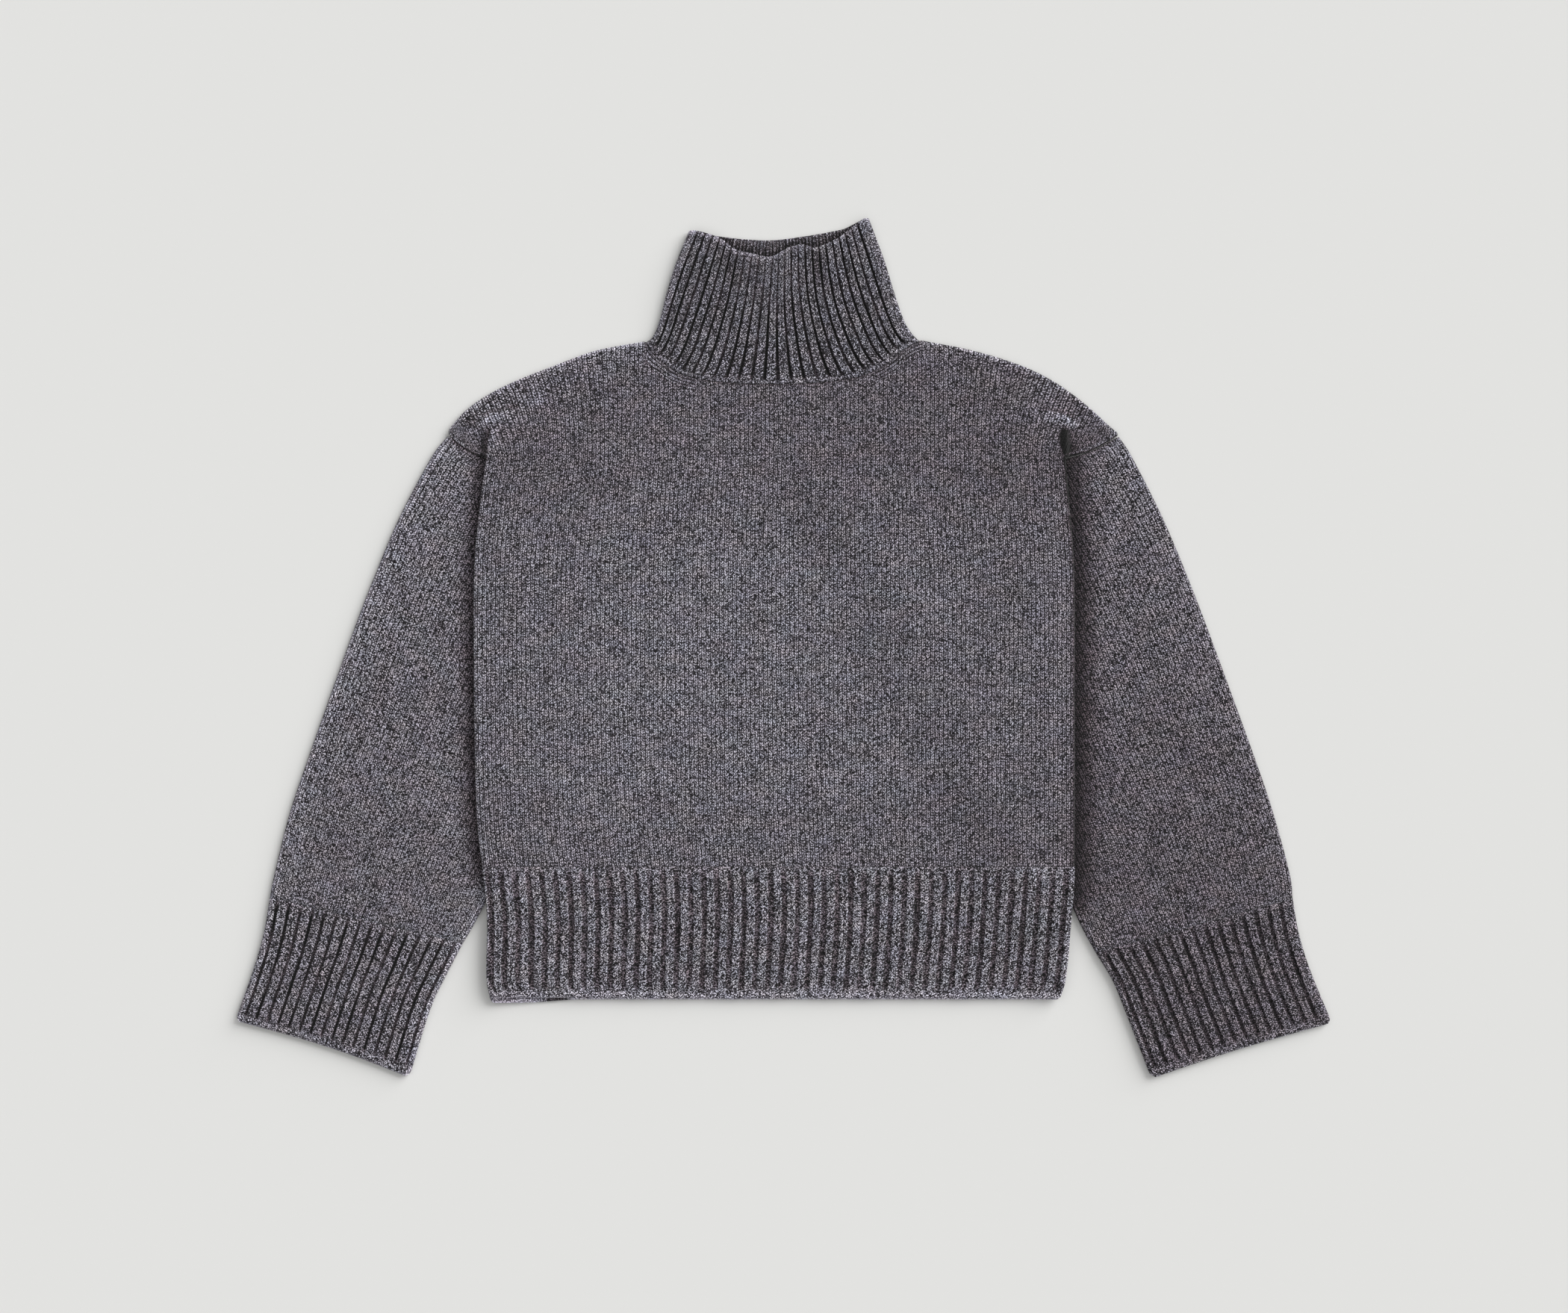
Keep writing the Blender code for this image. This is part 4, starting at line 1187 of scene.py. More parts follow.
    def fanned(self, x: Array) -> Array:
        """X at which a column that starts at x meets the shoulder."""
        left_tip = ARMHOLE_LEFT[0].x
        right_tip = ARMHOLE_RIGHT[0].x
        left = smooth((x - left_tip) / (FOLD_LEFT - left_tip))
        left = left * (1.0 - smooth((x - FOLD_LEFT) / (self.neck[0].x - FOLD_LEFT)))
        right = smooth((right_tip - x) / (right_tip - FOLD_RIGHT))
        right = right * (1.0 - smooth((FOLD_RIGHT - x) / (FOLD_RIGHT - self.neck[-1].x)))
        return x + self.fan * (right - left)

    def upper_part(self) -> tuple[Array, Array, Array, Array, Array]:
        """Rows between the side edges' ends and the shoulders and neck.

        Returns:
            X, Y, wale coordinate, drop and relief of each point.
        """
        x0, y0, wale = self.upper_columns()
        x1 = self.fanned(x0)
        y1 = self.upper_edge(x1)
        tall = y1 - y0
        depth = np.minimum(self.band_depth, 0.45 * tall)
        rows = [y0 + (tall - depth) * k / self.upper_rows for k in range(self.upper_rows)]
        steps = np.linspace(1.0, 0.0, self.band_rows + 1)
        rows += [y1 - depth * step for step in steps]
        y = np.array(rows)
        rise = (y - y0) / tall
        within = np.minimum(x0 - FOLD_LEFT, FOLD_RIGHT - x0)
        outside = within < 0.0
        bend = 1.0 + 1.4 * smooth(within / 60.0)
        x = x0 + (x1 - x0) * rise**bend
        x = x + 0.45 * wobble(x, y, 0.4) * smooth(rise * 3.0) * smooth((1.0 - rise) * 3.0) * ~outside
        below_top = y1 - y
        above = y - y0
        at_neck = (x1 > self.neck[0].x) & (x1 < self.neck[-1].x)
        top_drop = np.where(at_neck, SEAM_DROP, EDGE_DROP)
        drop = top_drop * round_drop(below_top, EDGE_ROUND)
        side = 0.5 * EDGE_DROP * round_drop(np.abs(within), EDGE_ROUND)
        seam = np.where(outside, SEAM_DROP, side)
        drop = drop + seam * (1.0 - smooth(above / 6.0))
        wales = np.broadcast_to(wale, x.shape)
        relief = WALE_RELIEF * wale_relief(wales)
        if self.front:
            off = self.off_neck(x, below_top)
            left_over = self.band_wale * self.band_wales - off
            inside = self.band_share(x) * smooth(left_over / self.band_fade + 1.0)
            along_neck = self.band_relief * WALE_RELIEF * wale_relief(off / self.band_wale)
            relief = blend(relief, along_neck, inside)
        return x, y, wales, drop, relief

    def off_neck(self, x: Array, below_top: Array) -> Array:
        """Distance from the neckline, square to it."""
        lean = (self.neck_line.y_over(x + 2.0) - self.neck_line.y_over(x - 2.0)) / 4.0
        return below_top / np.hypot(1.0, lean)

    def band_share(self, x: Array) -> Array:
        """How much the wales follow the neckline: 1 on its two slopes, 0 elsewhere."""
        left = smooth((x - self.neck[0].x) / 3.0) * (1.0 - smooth((x + 80.0) / 10.0))
        right = smooth((self.neck[-1].x - x) / 3.0) * smooth((x - 74.0) / 10.0)
        return np.maximum(left, right)

    def band_cells(self, x: Array, y: Array, wale: Array) -> Optional[tuple[Array, Array]]:
        """Cells beside the neck whose stitches follow it, and their stitch coordinates."""
        if not self.front:
            return None
        below = self.upper_edge(x) - y
        off = self.off_neck(x, below)
        inside = (off < self.band_wale * self.band_wales) & (self.band_share(x) > 0.5)
        cells = inside[:-1, :-1] & inside[1:, 1:] & inside[:-1, 1:] & inside[1:, :-1]
        length = np.abs(x) * 1.25 / COURSE
        return cells, np.stack([off / self.band_wale + 0.0 * wale, length], axis=-1)

    def side_shade(self, x: Array, y: Array) -> Array:
        """Painted highlight and shade along the folds at the sides, and painted shade in the wedges above
        them.
        """
        left, right = fold_edges(y)
        inset = np.minimum(x - left, right - x)
        width = np.interp(y, WEDGE_HEIGHTS, WEDGE_WIDTHS)
        shade = np.zeros(inset.shape)
        for here, tone in ((x < 0.0, LEFT_SIDE_SHADE), (x >= 0.0, RIGHT_SIDE_SHADE)):
            rim = tone.rim * bell(inset, tone.rim_width)
            rim = rim + tone.roll * bell(inset - tone.roll_at, tone.roll_width)
            wedge = tone.wedge * bell(np.maximum(-inset, 0.0), tone.wedge_share * width, 2.2)
            shade += here * (rim * (inset > -0.6) + wedge * (inset < 0.0) * (y > WEDGE_FROM))
        return shade * smooth((WEDGE_HEIGHTS[-1] - y) / 5.0)

    def top_shade(self, x: Array, y: Array) -> Array:
        """Painted highlight along the shoulders, the dark neck seam, and painted shade and highlight on the
        rows that follow it.
        """
        below = self.upper_edge(x) - y
        at_neck = (x > self.neck[0].x) & (x < self.neck[-1].x)
        off_neck = (x < self.neck[0].x) | (x > self.neck[-1].x)
        light = self.shoulder_light * bell(below, 3.0) + self.shoulder_glow * np.exp(-below / 16.0)
        light = light * np.where(x < 0.0, LEFT_SIDE_SHADE.shoulder, RIGHT_SIDE_SHADE.shoulder)
        off = self.off_neck(x, below)
        rows = off / self.band_wale
        lines = bell(rows - np.round(rows), 0.2) * (rows > 0.4)
        near = self.band_share(x) * (rows < self.band_wales + 0.5)
        seam = self.neck_seam * bell(off, 1.1)
        return seam * at_neck - light * off_neck + (self.row_dark * lines - self.row_light) * near

    def armhole_shade(self, x: Array, y: Array) -> Array:
        """Dark line of each armhole's seam, with painted highlight on the beads of its links beside it."""
        outside = (x < ARMHOLE_LEFT[2].x + 8.0) | (x > ARMHOLE_RIGHT[2].x - 6.0)
        beads = self.bead_light + self.bead_change * (0.5 + 0.5 * np.cos(math.tau * x / self.link))
        shade = np.zeros(x.shape)
        for armhole in (self.left_armhole, self.right_armhole):
            away = y - armhole.y_over(x)
            shade += self.armhole_seam * bell(away, 1.1) - beads * bell(away - 2.7, 1.1)
        return shade * outside

    def shade(self, x: Array, y: Array, wale: Array) -> Array:
        """Painted shade of the front in its creases and along its seams; below 0, painted highlight where it
        catches the light.
        """
        # Broad tones: less light towards the top, the right, the foot and both sides
        shade = 0.22 * smooth((y - 60.0) / 120.0) + 0.08 * smooth((x + 60.0) / 260.0)
        shade = shade + 0.08 * smooth((-100.0 - y) / 60.0) + 0.05 * smooth((np.abs(x) - 120.0) / 80.0)
        shade = shade + self.side_shade(x, y) + self.top_shade(x, y) + self.armhole_shade(x, y)
        for stroke in PINCH_STROKES:
            shade = shade + stroke.shade * stroke_share(stroke, x, y)
        return shade + self.stripes(x, y, wale)

    def stripes(self, x: Array, y: Array, wale: Array) -> Array:
        """Painted shade in the gaps between the wales that are pulled together along the shoulders, with
        painted highlight over them.
        """
        below = self.upper_edge(x) - y
        ends = np.maximum(smooth((-196.0 - x) / 40.0), smooth((x - 190.0) / 40.0))
        near = ends * (1.0 - smooth((below - 16.0) / 14.0))
        return near * (self.stripe_dark * (1.0 - wale_relief(wale)) - self.stripe_light)

    def build(self, material: bpy.types.Material) -> bpy.types.Object:
        """Make the piece.

        Args:
            material: The body's knit.

        Returns:
            The piece.
        """
        draft = Draft()
        parts = (self.lower_part(), self.upper_part())
        width = ARMHOLE_RIGHT[0].x - ARMHOLE_LEFT[0].x
        tall = SHOULDER_RIGHT[0].y - HEM_TOP + 2.0
        fine_rect = Rect(0.005, 0.005, 0.995, 0.66)
        coarse_rect = Rect(0.005, 0.67, 0.6, 0.935)
        sides = []
        left_count = self.left_cap * self.per_wale
        for number, (x, y, wale, drop, relief) in enumerate(parts):
            top, low = self.surface(x, y, wale, drop, relief)
            knit = np.stack([wale, (y - HEM_TOP) / COURSE], axis=-1)
            grids = []
            for upper in (True, False):
                fine = upper == self.front
                row_step = 1 if fine else self.coarse_rows
                column_step = 1 if fine else self.coarse_columns
                rows = thinned(x.shape[0], row_step)
                columns = thinned(x.shape[1], column_step)
                if number == 1:
                    columns = self.cap_columns(x.shape[1], column_step)
                pick = np.ix_(rows, columns)
                rect = fine_rect if fine else coarse_rect
                bake = rect.spread((x - ARMHOLE_LEFT[0].x) / width, (y - HEM_TOP) / tall)
                z = top if upper else low
                banded = self.band_cells(x[pick], y[pick], wale[pick]) if number == 1 and upper else None
                shade = self.shade(x[pick], y[pick], wale[pick]) if upper and self.front else None
                grid = draft.grid(
                    stack(x, y, z)[pick],
                    knit[pick],
                    bake[pick],
                    columns.astype(float),
                    rows.astype(float),
                    flip=not upper,
                    banded=banded,
                    shade=shade,
                )
                grids.append(grid)
            sides.append(grids)
        for lower_grid, upper_grid in zip(*sides):
            start = np.searchsorted(upper_grid.across, left_count)
            above = upper_grid.index[0, start : start + lower_grid.index.shape[1]]
            self.join(draft, lower_grid.index[-1], above)
        (lower_top, lower_low), (upper_top, upper_low) = sides
        draft.strip(lower_top.row(0), lower_low.row(0))
        draft.strip(lower_top.column(0), lower_low.column(0), flip=True)
        draft.strip(lower_top.column(-1), lower_low.column(-1))
        body_ends = (left_count, left_count + self.wales * self.per_wale)
        top_left, top_right = np.searchsorted(upper_top.across, body_ends)
        low_left, low_right = np.searchsorted(upper_low.across, body_ends)
        draft.strip(upper_top.row(0, 0, top_left + 1), upper_low.row(0, 0, low_left + 1))
        draft.strip(upper_top.row(0, top_right), upper_low.row(0, low_right))
        draft.strip(upper_top.row(-1), upper_low.row(-1), flip=True)
        draft.strip(upper_top.column(0), upper_low.column(0), flip=True)
        draft.strip(upper_top.column(-1), upper_low.column(-1))
        return draft.make(self.name, material)

    def cap_columns(self, count: int, step: int) -> Array:
        """Column numbers of the upper rows that include the lower rows' columns."""
        left_count = self.left_cap * self.per_wale
        body = thinned(self.wales * self.per_wale + 1, step) + left_count
        left = np.arange(0, left_count, min(step, self.per_wale))
        right = np.arange(count - 1, body[-1], -min(step, self.per_wale))[::-1]
        return np.concatenate([left, body, right])

    @staticmethod
    def join(draft: Draft, first: Array, second: Array) -> None:
        """Let one row of vertices stand for another that lies on it."""
        rename = np.arange(draft.count)
        rename[first] = second
        draft.loops = [rename[loops] for loops in draft.loops]


@dataclass
class HemRib:
    """Ribbed hem of the front or the back, with its rolled edge."""

    name: str
    front: bool
    pattern: RibPattern
    row_step: float = 2.6
    coarse_rows: int = 3
    coarse_columns: int = 8
    lift: float = 1.1  # how far the front's edge draws up over the back's lip
    lift_from: float = -262.0
    lift_to: float = -180.0
    back_lip: float = 0.3  # how far the back's edge shows below the front's
    back_sag: float = 3.0  # how much more it shows at the left
    sag_x: float = -170.0
    sag_run: float = 60.0
    edge_run: float = 12.0  # over what height the edge draws up or sags
    # Painted highlight where below 0, painted shade where above: on the back's lip, in the gap, along the
    # sides and at the seam
    lip_shade: float = -0.25
    gap_shade: float = 1.5  # painted shadow in the gap between front and back, where it shows
    gap_from: float = -211.0
    gap_to: float = -184.0
    side_light: float = 0.25
    seam_shade: float = 0.3
    levels: tuple[Level, ...] = (
        Level(0.0, 0.0, -1.4),
        Level(0.7, 0.0, 0.1),
        Level(1.8, 0.0, 0.85),
        Level(3.0, 0.0, 1.0),
        Level(4.4, 0.0, 0.6),
        Level(6.1, 0.1, -0.15),
        Level(7.6, 0.65, -0.1),
        Level(9.4, 1.0, 0.0),
        Level(104.0, 1.0, 0.0),
        Level(109.0, 0.75, 0.1),
        Level(115.2, 0.0, 0.35),
    )

    def rows(self) -> Array:
        """Distances of the rows from the hem's end."""
        roll = np.array([0.0, 0.35, 0.8, 1.4, 2.1, 3.0, 3.9, 4.7, 5.4, 6.1, 7.0, 8.0])
        last = HEM_TOP - 0.2 - HEM_END
        count = int((last - 10.0) / self.row_step)
        return np.concatenate([roll, np.linspace(10.0, last, count)])

    def plan(self, far: Array, share: Array) -> tuple[Array, Array, Array]:
        """Places of the rib's points.

        Args:
            far: Distance of each row from the hem's end.
            share: Share of the width of each column.

        Returns:
            X, Y and the distance from the nearer side edge.
        """
        y = HEM_END + far
        low_x, high_x = side_edges(y)
        x = low_x + (high_x - low_x) * share
        inset = np.minimum(share, 1.0 - share) * (high_x - low_x)
        x = x + 3.0 * np.sign(0.5 - share) * round_drop(far, 4.5) * np.exp(-inset / 5.0)
        still = smooth(inset / 14.0) * smooth(far / 30.0) * smooth((self.levels[-1].place - far) / 20.0)
        x = x + 0.25 * wobble(x, y, 1.3) * still
        if self.front:
            shift = self.lift * smooth((x - self.lift_from) / 14.0) * smooth((self.lift_to - x) / 14.0)
            shift = shift + 0.35 * np.sin(x / 9.0) * np.sin(x / 23.0 + 1.0)
        else:
            shift = -self.back_lip - self.back_sag * smooth((self.sag_x - x) / self.sag_run)
        y = y + shift * (1.0 - smooth(far / self.edge_run))
        return x, y, inset

    def shade(self, x: Array, y: Array, far: Array, inset: Array) -> Array:
        """Painted highlight on the rolled edge and along the sides, and painted shade at the seam above."""
        loops = 0.5 + 0.5 * np.sin(math.tau * x / 4.1 + 0.9 * np.sin(x / 17.0)) * np.sin(x / 7.3)
        roll = (0.25 + 0.15 * loops) * bell(far - 4.8, 6.0, 4.0) + 0.9 * bell(far, 1.2)
        side = self.side_light * bell(inset, 2.5) * smooth((HEM_END + 70.0 - y) / 30.0)
        return self.seam_shade * bell(far[-1] - far, 1.2) - roll - side

    def lip(self, x: Array, far: Array) -> Array:
        """Painted highlight on the back's lip below the front's edge, and painted shadow in the gap where
        that edge lifts off.
        """
        gap = smooth((x - self.gap_from) / 5.0) * smooth((self.gap_to - x) / 8.0)
        return (self.lip_shade + self.gap_shade * gap) * (1.0 - smooth((far - 4.0) / 4.0))

    def build(self, material: bpy.types.Material) -> bpy.types.Object:
        """Make the piece.

        Args:
            material: The rib knit.

        Returns:
            The piece.
        """
        draft = Draft()
        far = self.rows()[:, None]
        share = self.pattern.shares()[None, :]
        x, y, inset = self.plan(far, share)
        rib, rise = level_relief(self.levels, far)
        height = rib * self.pattern.relief(share)
        edge = RIB_EDGE_DROP * round_drop(inset, EDGE_ROUND)
        base = tuck_height(x, y)
        if self.front:
            low = base + WALL + LAYER_GAP
            high = low + RIB_WALL + RIB_HEIGHT * height + rise - edge
        else:
            high = base + WALL
            low = base + edge + BACK_GROOVE * (1.0 - height) * smooth(far / 8.0)
        wale, course, across, along = np.broadcast_arrays(
            self.pattern.wales(share), far / COURSE, share, far / far[-1]
        )
        knit = np.stack([wale, course], axis=-1)
        # Painted shade in the grooves, with the painted highlight and shade of the edges
        dark = rib * self.pattern.darkness(share, far) + self.shade(x, y, far, inset)
        grids = []
        for upper in (True, False):
            fine = upper == self.front
            rows = thinned(x.shape[0], 1 if fine else self.coarse_rows)
            columns = thinned(x.shape[1], 1 if fine else self.coarse_columns)
            pick = np.ix_(rows, columns)
            rect = Rect(0.005, 0.005, 0.995, 0.6) if fine else Rect(0.005, 0.62, 0.995, 0.93)
            shade = dark + self.lip(x, far) if upper and not self.front else dark
            grids.append(
                draft.grid(
                    stack(x, y, high if upper else low)[pick],
                    knit[pick],
                    rect.spread(across, along)[pick],
                    columns.astype(float),
                    rows.astype(float),
                    flip=not upper,
                    shade=shade[pick],
                )
            )
        draft.close_sheet(*grids)
        return draft.make(self.name, material)


@dataclass
class Ring:
    """Places round a flattened tube, from the front's left edge round by its right edge and the back.

    share runs across from left to right, up is 1 on the front and -1 on the back, out is the bulge of the
    bends, wale is the stitch coordinate and place is the share of the way round, for sewing and baking.
    """

    share: Array
    up: Array
    out: Array
    wale: Array
    place: Array

    FRONT_END = 0.44
    BACK_START = 0.5
    BACK_END = 0.94
    BEND_WALES = 2.4

    @classmethod
    def round(cls, front: Array, front_wale: Array, back: Array, back_wale: Array, bend: int) -> "Ring":
        """Join a front, a right bend, a back and a left bend.

        Args:
            front: Shares across the front, rising from 0 to 1.
            front_wale: Their wale coordinates.
            back: Shares across the back, rising from 0 to 1.
            back_wale: Their wale coordinates, seen from the front.
            bend: Points in each bend, without its ends.

        Returns:
            The ring.
        """
        turn = np.linspace(0.5 * math.pi, -0.5 * math.pi, bend + 2)[1:-1]
        step = (np.arange(bend) + 1.0) / (bend + 1.0)
        ones = np.ones(bend)
        share = np.concatenate([front, ones, back[::-1], 0.0 * ones])
        up = np.concatenate([np.ones(len(front)), np.sin(turn), -np.ones(len(back)), np.sin(turn[::-1])])
        out = np.concatenate([0.0 * front, np.cos(turn), 0.0 * back, -np.cos(turn)])
        bend_wales = cls.BEND_WALES * step
        side = front_wale[-1]
        end = side + cls.BEND_WALES + back_wale[-1]
        wale = np.concatenate([front_wale, side + bend_wales, end - back_wale[::-1], end + bend_wales])
        place = [cls.FRONT_END * front, blend(cls.FRONT_END, cls.BACK_START, step)]
        place += [blend(cls.BACK_START, cls.BACK_END, 1.0 - back[::-1]), blend(cls.BACK_END, 1.0, step)]
        return cls(share, up, out, wale, np.concatenate(place))

    def whole_wale(self) -> Array:
        """Wale coordinates with one more for the column that closes the ring."""
        return np.append(self.wale, self.wale[-1] + 0.5)

    def whole_place(self) -> Array:
        """Places with one more for the column that closes the ring."""
        return np.append(self.place, 1.0)


PlanOf = Callable[[Array, Array, Array], tuple[Array, Array]]  # from layer, share and along
ReliefOf = Callable[[Array, Array, Array], Array]  # from share, along and up
ShadeOf = Callable[[Array, Array, Array, Array, Array], Array]  # from share, along, X, Y and up


def two_layers(along: Array) -> Array:
    """Thickness of a flattened tube that is the same all along."""
    return 0.0 * along + DOUBLE


def smooth_inside(share: Array, _along: Array, _up: Array) -> Array:
    """Relief of a plain inner side."""
    return 0.0 * share


@dataclass
class Tube:
    """A flattened tube of cloth, open at both ends."""

    name: str
    outer: Ring
    inner: Ring
    rows: Array
    length: float
    plan: PlanOf
    outer_relief: ReliefOf
    shade: ShadeOf
    inner_relief: ReliefOf = smooth_inside
    inner_shade: Optional[ShadeOf] = None
    thickness: Callable[[Array], Array] = two_layers
    coarse_rows: int = 3
    end_round: float = 0.0  # how far before the end the two bends start to draw in

    def shell(self, ring: Ring, rows: Array, inside: bool) -> Array:
        """Points of one side of the wall.

        Args:
            ring: The places round the tube.
            rows: The shares along it.
            inside: Whether this is the inner side.

        Returns:
            Rows of points.
        """
        column = rows[:, None]
        share, up, out, along = np.broadcast_arrays(ring.share, ring.up, ring.out, column)
        layer = 0.5 + 0.5 * up
        x, y = self.plan(layer, share, along)
        left_x, left_y = self.plan(layer, 0.0 * share, along)
        right_x, right_y = self.plan(layer, 0.0 * share + 1.0, along)
        span = np.hypot(right_x - left_x, right_y - left_y)
        half = 0.5 * self.thickness(column)
        reach = half - (WALL if inside else 0.0)
        relief = (self.inner_relief if inside else self.outer_relief)(share, column, up)
        bulge = out * reach
        if self.end_round > 0.0:
            bulge = bulge * (1.0 - round_drop((1.0 - column) * self.length, self.end_round))
        x = x + bulge * (right_x - left_x) / span
        y = y + bulge * (right_y - left_y) / span
        return stack(x, y, half + up * reach + relief)

    def build(self, material: bpy.types.Material) -> bpy.types.Object:
        """Make the piece.

        Args:
            material: Its knit.

        Returns:
            The piece.
        """
        draft = Draft()
        grids = []
        for inside in (False, True):
            ring = self.inner if inside else self.outer
            numbers = thinned(len(self.rows), self.coarse_rows if inside else 1)
            rows = self.rows[numbers]
            points = self.shell(ring, rows, inside)
            along = rows[:, None]
            wale = ring.whole_wale()[None, :]
            knit = np.stack(np.broadcast_arrays(wale, along * self.length / COURSE), axis=-1)
            rect = Rect(0.005, 0.66, 0.995, 0.93) if inside else Rect(0.005, 0.005, 0.995, 0.64)
            bake = rect.spread(ring.whole_place()[None, :], along)
            shade_of = self.inner_shade if inside else self.shade
            shade = None
            if shade_of is not None:
                places = (ring.share[None, :], along, points[..., 0], points[..., 1], ring.up[None, :])
                shade = shade_of(*places) + 0.0 * points[..., 0]
            place = ring.whole_place()
            numbered = numbers.astype(float)
            grid = draft.grid(points, knit, bake, place, numbered, closed=True, flip=inside, shade=shade)
            grids.append(grid)
        outer, inner = grids
        draft.strip(outer.row(0), inner.row(0))
        draft.strip(outer.row(-1), inner.row(-1), flip=True)
        return draft.make(self.name, material)


def beside_body(x: Array, y: Array, side: Side) -> Array:
    """Distance outward from the body's side edge."""
    left, right = side_edges(np.minimum(y, FOLD_TOP))
    return left - x if side is Side.LEFT else x - right


@dataclass(frozen=True)
class SideCrease:
    """Crease where the body's fold lies on a sleeve: a real dip with painted shade beside the fold."""

    # how dark the painted shade in the crease is; dip is how far the sleeve really sinks there
    depth: float
    width: float
    power: float
    top: float = 186.0
    bottom: float = -215.0
    dip: float = 1.2

    def strength(self, x: Array, y: Array, side: Side) -> Array:
        """How much of the crease is left at a place: 1 at the fold, 0 away from it."""
        away = np.maximum(beside_body(x, y, side), 0.0)
        ends = smooth((self.top - y) / 14.0) * smooth((y - self.bottom) / 30.0)
        return bell(away, self.width, self.power) * ends


def limb_plan(table: list[SleeveRow], armhole: Optional[Outline]) -> tuple[PlanOf, float]:
    """Plan of a sleeve or cuff, whose shares across run from its left edge to its right edge.

    Args:
        table: Sections from the body towards the hand.
        armhole: The seam that the first rows follow, or none.

    Returns:
        A function from layer, share across and share of the length to X and Y, and the length.
    """
    knots = np.linspace(0.0, 1.0, len(table))
    fine = np.linspace(0.0, 1.0, 400)
    rows = curve_value(knots, table, fine)
    middle = 0.5 * (rows[:, :2] + rows[:, 2:])
    run = np.concatenate([[0.0], np.cumsum(np.hypot(*np.diff(middle, axis=0).T))])
    right = table[0].outer_x > 0.0
    inset = 0.5 * DOUBLE
    ease = 0.8  # how far the first row stays below the armhole seam
    reach = 0.28  # share of the length over which the rows straighten out

    def plan(_layer: Array, share: Array, along: Array) -> tuple[Array, Array]:
        """X and Y at a share across and a share of the length."""
        place = np.interp(along, run / run[-1], fine)
        row = curve_value(knots, table, place)
        outer_x, outer_y, inner_x, inner_y = np.moveaxis(row, -1, 0)
        across = 1.0 - share if right else share
        width = np.hypot(inner_x - outer_x, inner_y - outer_y)
        part = (inset + across * (width - 2.0 * inset)) / width
        x = blend(outer_x, inner_x, part)
        y = blend(outer_y, inner_y, part)
        if armhole is not None:
            first = table[0]
            start_x = blend(first.outer_x, first.inner_x, part)
            start_y = blend(first.outer_y, first.inner_y, part)
            shift = armhole.y_over(start_x) - ease - start_y
            y = y + shift * np.maximum(0.0, 1.0 - place / reach)
        return x, y

    return plan, float(run[-1])


class Fold(NamedTuple):
    """A soft fold along a sleeve: place across, start, end, height and width as shares or millimetres."""

    across: float
    start: float
    end: float
    height: float
    width: float


@dataclass
class Sleeve:
    """Plain sleeve between the armhole seam and the cuff."""

    name: str
    side: Side
    table: list[SleeveRow]
    armhole: list[Spot]
    folds: list[Fold]
    crease: SideCrease
    painted_dimming: float = 0.0  # painted shade over the whole sleeve, as it gets less light
    wales: int = 53
    per_wale: int = 4
    rows: int = 104
    bend: int = 9
    seam_dip: float = 0.35

    def fold_rise(self, share: Array, v: Array) -> Array:
        """Height that the soft folds add along the sleeve; below 0 in a trough."""
        rise = np.zeros(share.shape)
        for fold in self.folds:
            along = np.clip((v - fold.start) / (fold.end - fold.start), 0.0, 1.0)
            rise += fold.height * np.sin(np.pi * along) * bell(share - fold.across, fold.width)
        return rise

    def build(self, material: bpy.types.Material) -> bpy.types.Object:
        """Make the piece.

        Args:
            material: The sleeve knit.

        Returns:
            The piece.
        """
        count = self.wales * self.per_wale
        front = np.linspace(0.0, 1.0, count + 1)
        back = np.linspace(0.0, 1.0, self.wales * 2 + 1)
        outer = Ring.round(front, front * self.wales, back, back * self.wales, self.bend)
        few = np.linspace(0.0, 1.0, 14)
        inner = Ring.round(few, few * self.wales, few, few * self.wales, 3)
        plan, length = limb_plan(self.table, Outline(self.armhole))

        def outer_relief(share: Array, v: Array, up: Array) -> Array:
            """Raised wales and folds on the front; sunk wales on the back, which rests flat."""
            raised = WALE_RELIEF * wale_relief(outer.wale[None, :])
            x, y = plan(0.0 * share + 1.0, share, v + 0.0 * share)
            dip = self.crease.dip * self.crease.strength(x, y, self.side)
            seam = self.seam_dip * (1.0 - smooth(v / 0.008))
            lift = (self.fold_rise(share, v) - dip) * (up > FLAT) + raised - 0.5 * WALE_RELIEF - seam
            return by_side(up, lift, WALE_RELIEF - raised)

        def inner_relief(share: Array, v: Array, up: Array) -> Array:
            """The folds that lift the front, so that the wall keeps its thickness under them."""
            return np.maximum(self.fold_rise(share, v), 0.0) * (up > FLAT)

        def shade(share: Array, v: Array, x: Array, y: Array, up: Array) -> Array:
            """Painted shade beside the body's fold and over the sleeve, dark at the armhole seam, painted
            highlight along the open edge and at the cuff.
            """
            crease = self.crease.strength(x, y, self.side)
            beside = self.crease.depth * crease * (up > -0.5)
            seam = 0.6 * bell(v * length, 1.6) - 0.3 * bell((1.0 - v) * length, 1.5)
            inset = np.minimum(share, 1.0 - share) * self.wales * WALE
            light = edge_light(inset, self.side) * (1.0 - crease)
            # Painted shade over the whole sleeve, growing towards the cuff
            tone = self.painted_dimming * (0.5 + 0.5 * smooth(v))
            return 1.0 - (1.0 - beside) * (1.0 - tone) * (1.0 - seam) * (1.0 + light)

        rows = np.concatenate([[0.0, 0.003, 0.006, 0.01], np.linspace(0.016, 1.0, self.rows)])
        tube = Tube(self.name, outer, inner, rows, length, plan, outer_relief, shade, inner_relief)
        return tube.build(material)


def edge_light(inset: Array, side: Side) -> Array:
    """Painted highlight beside an open edge, where the cloth and its fuzz round down to the floor: how much
    lighter it is made.
    """
    near, wide = (0.55, 0.24) if side is Side.LEFT else (0.0, 0.16)
    return near * bell(inset, 1.6) + wide * np.exp(-inset / 13.0)


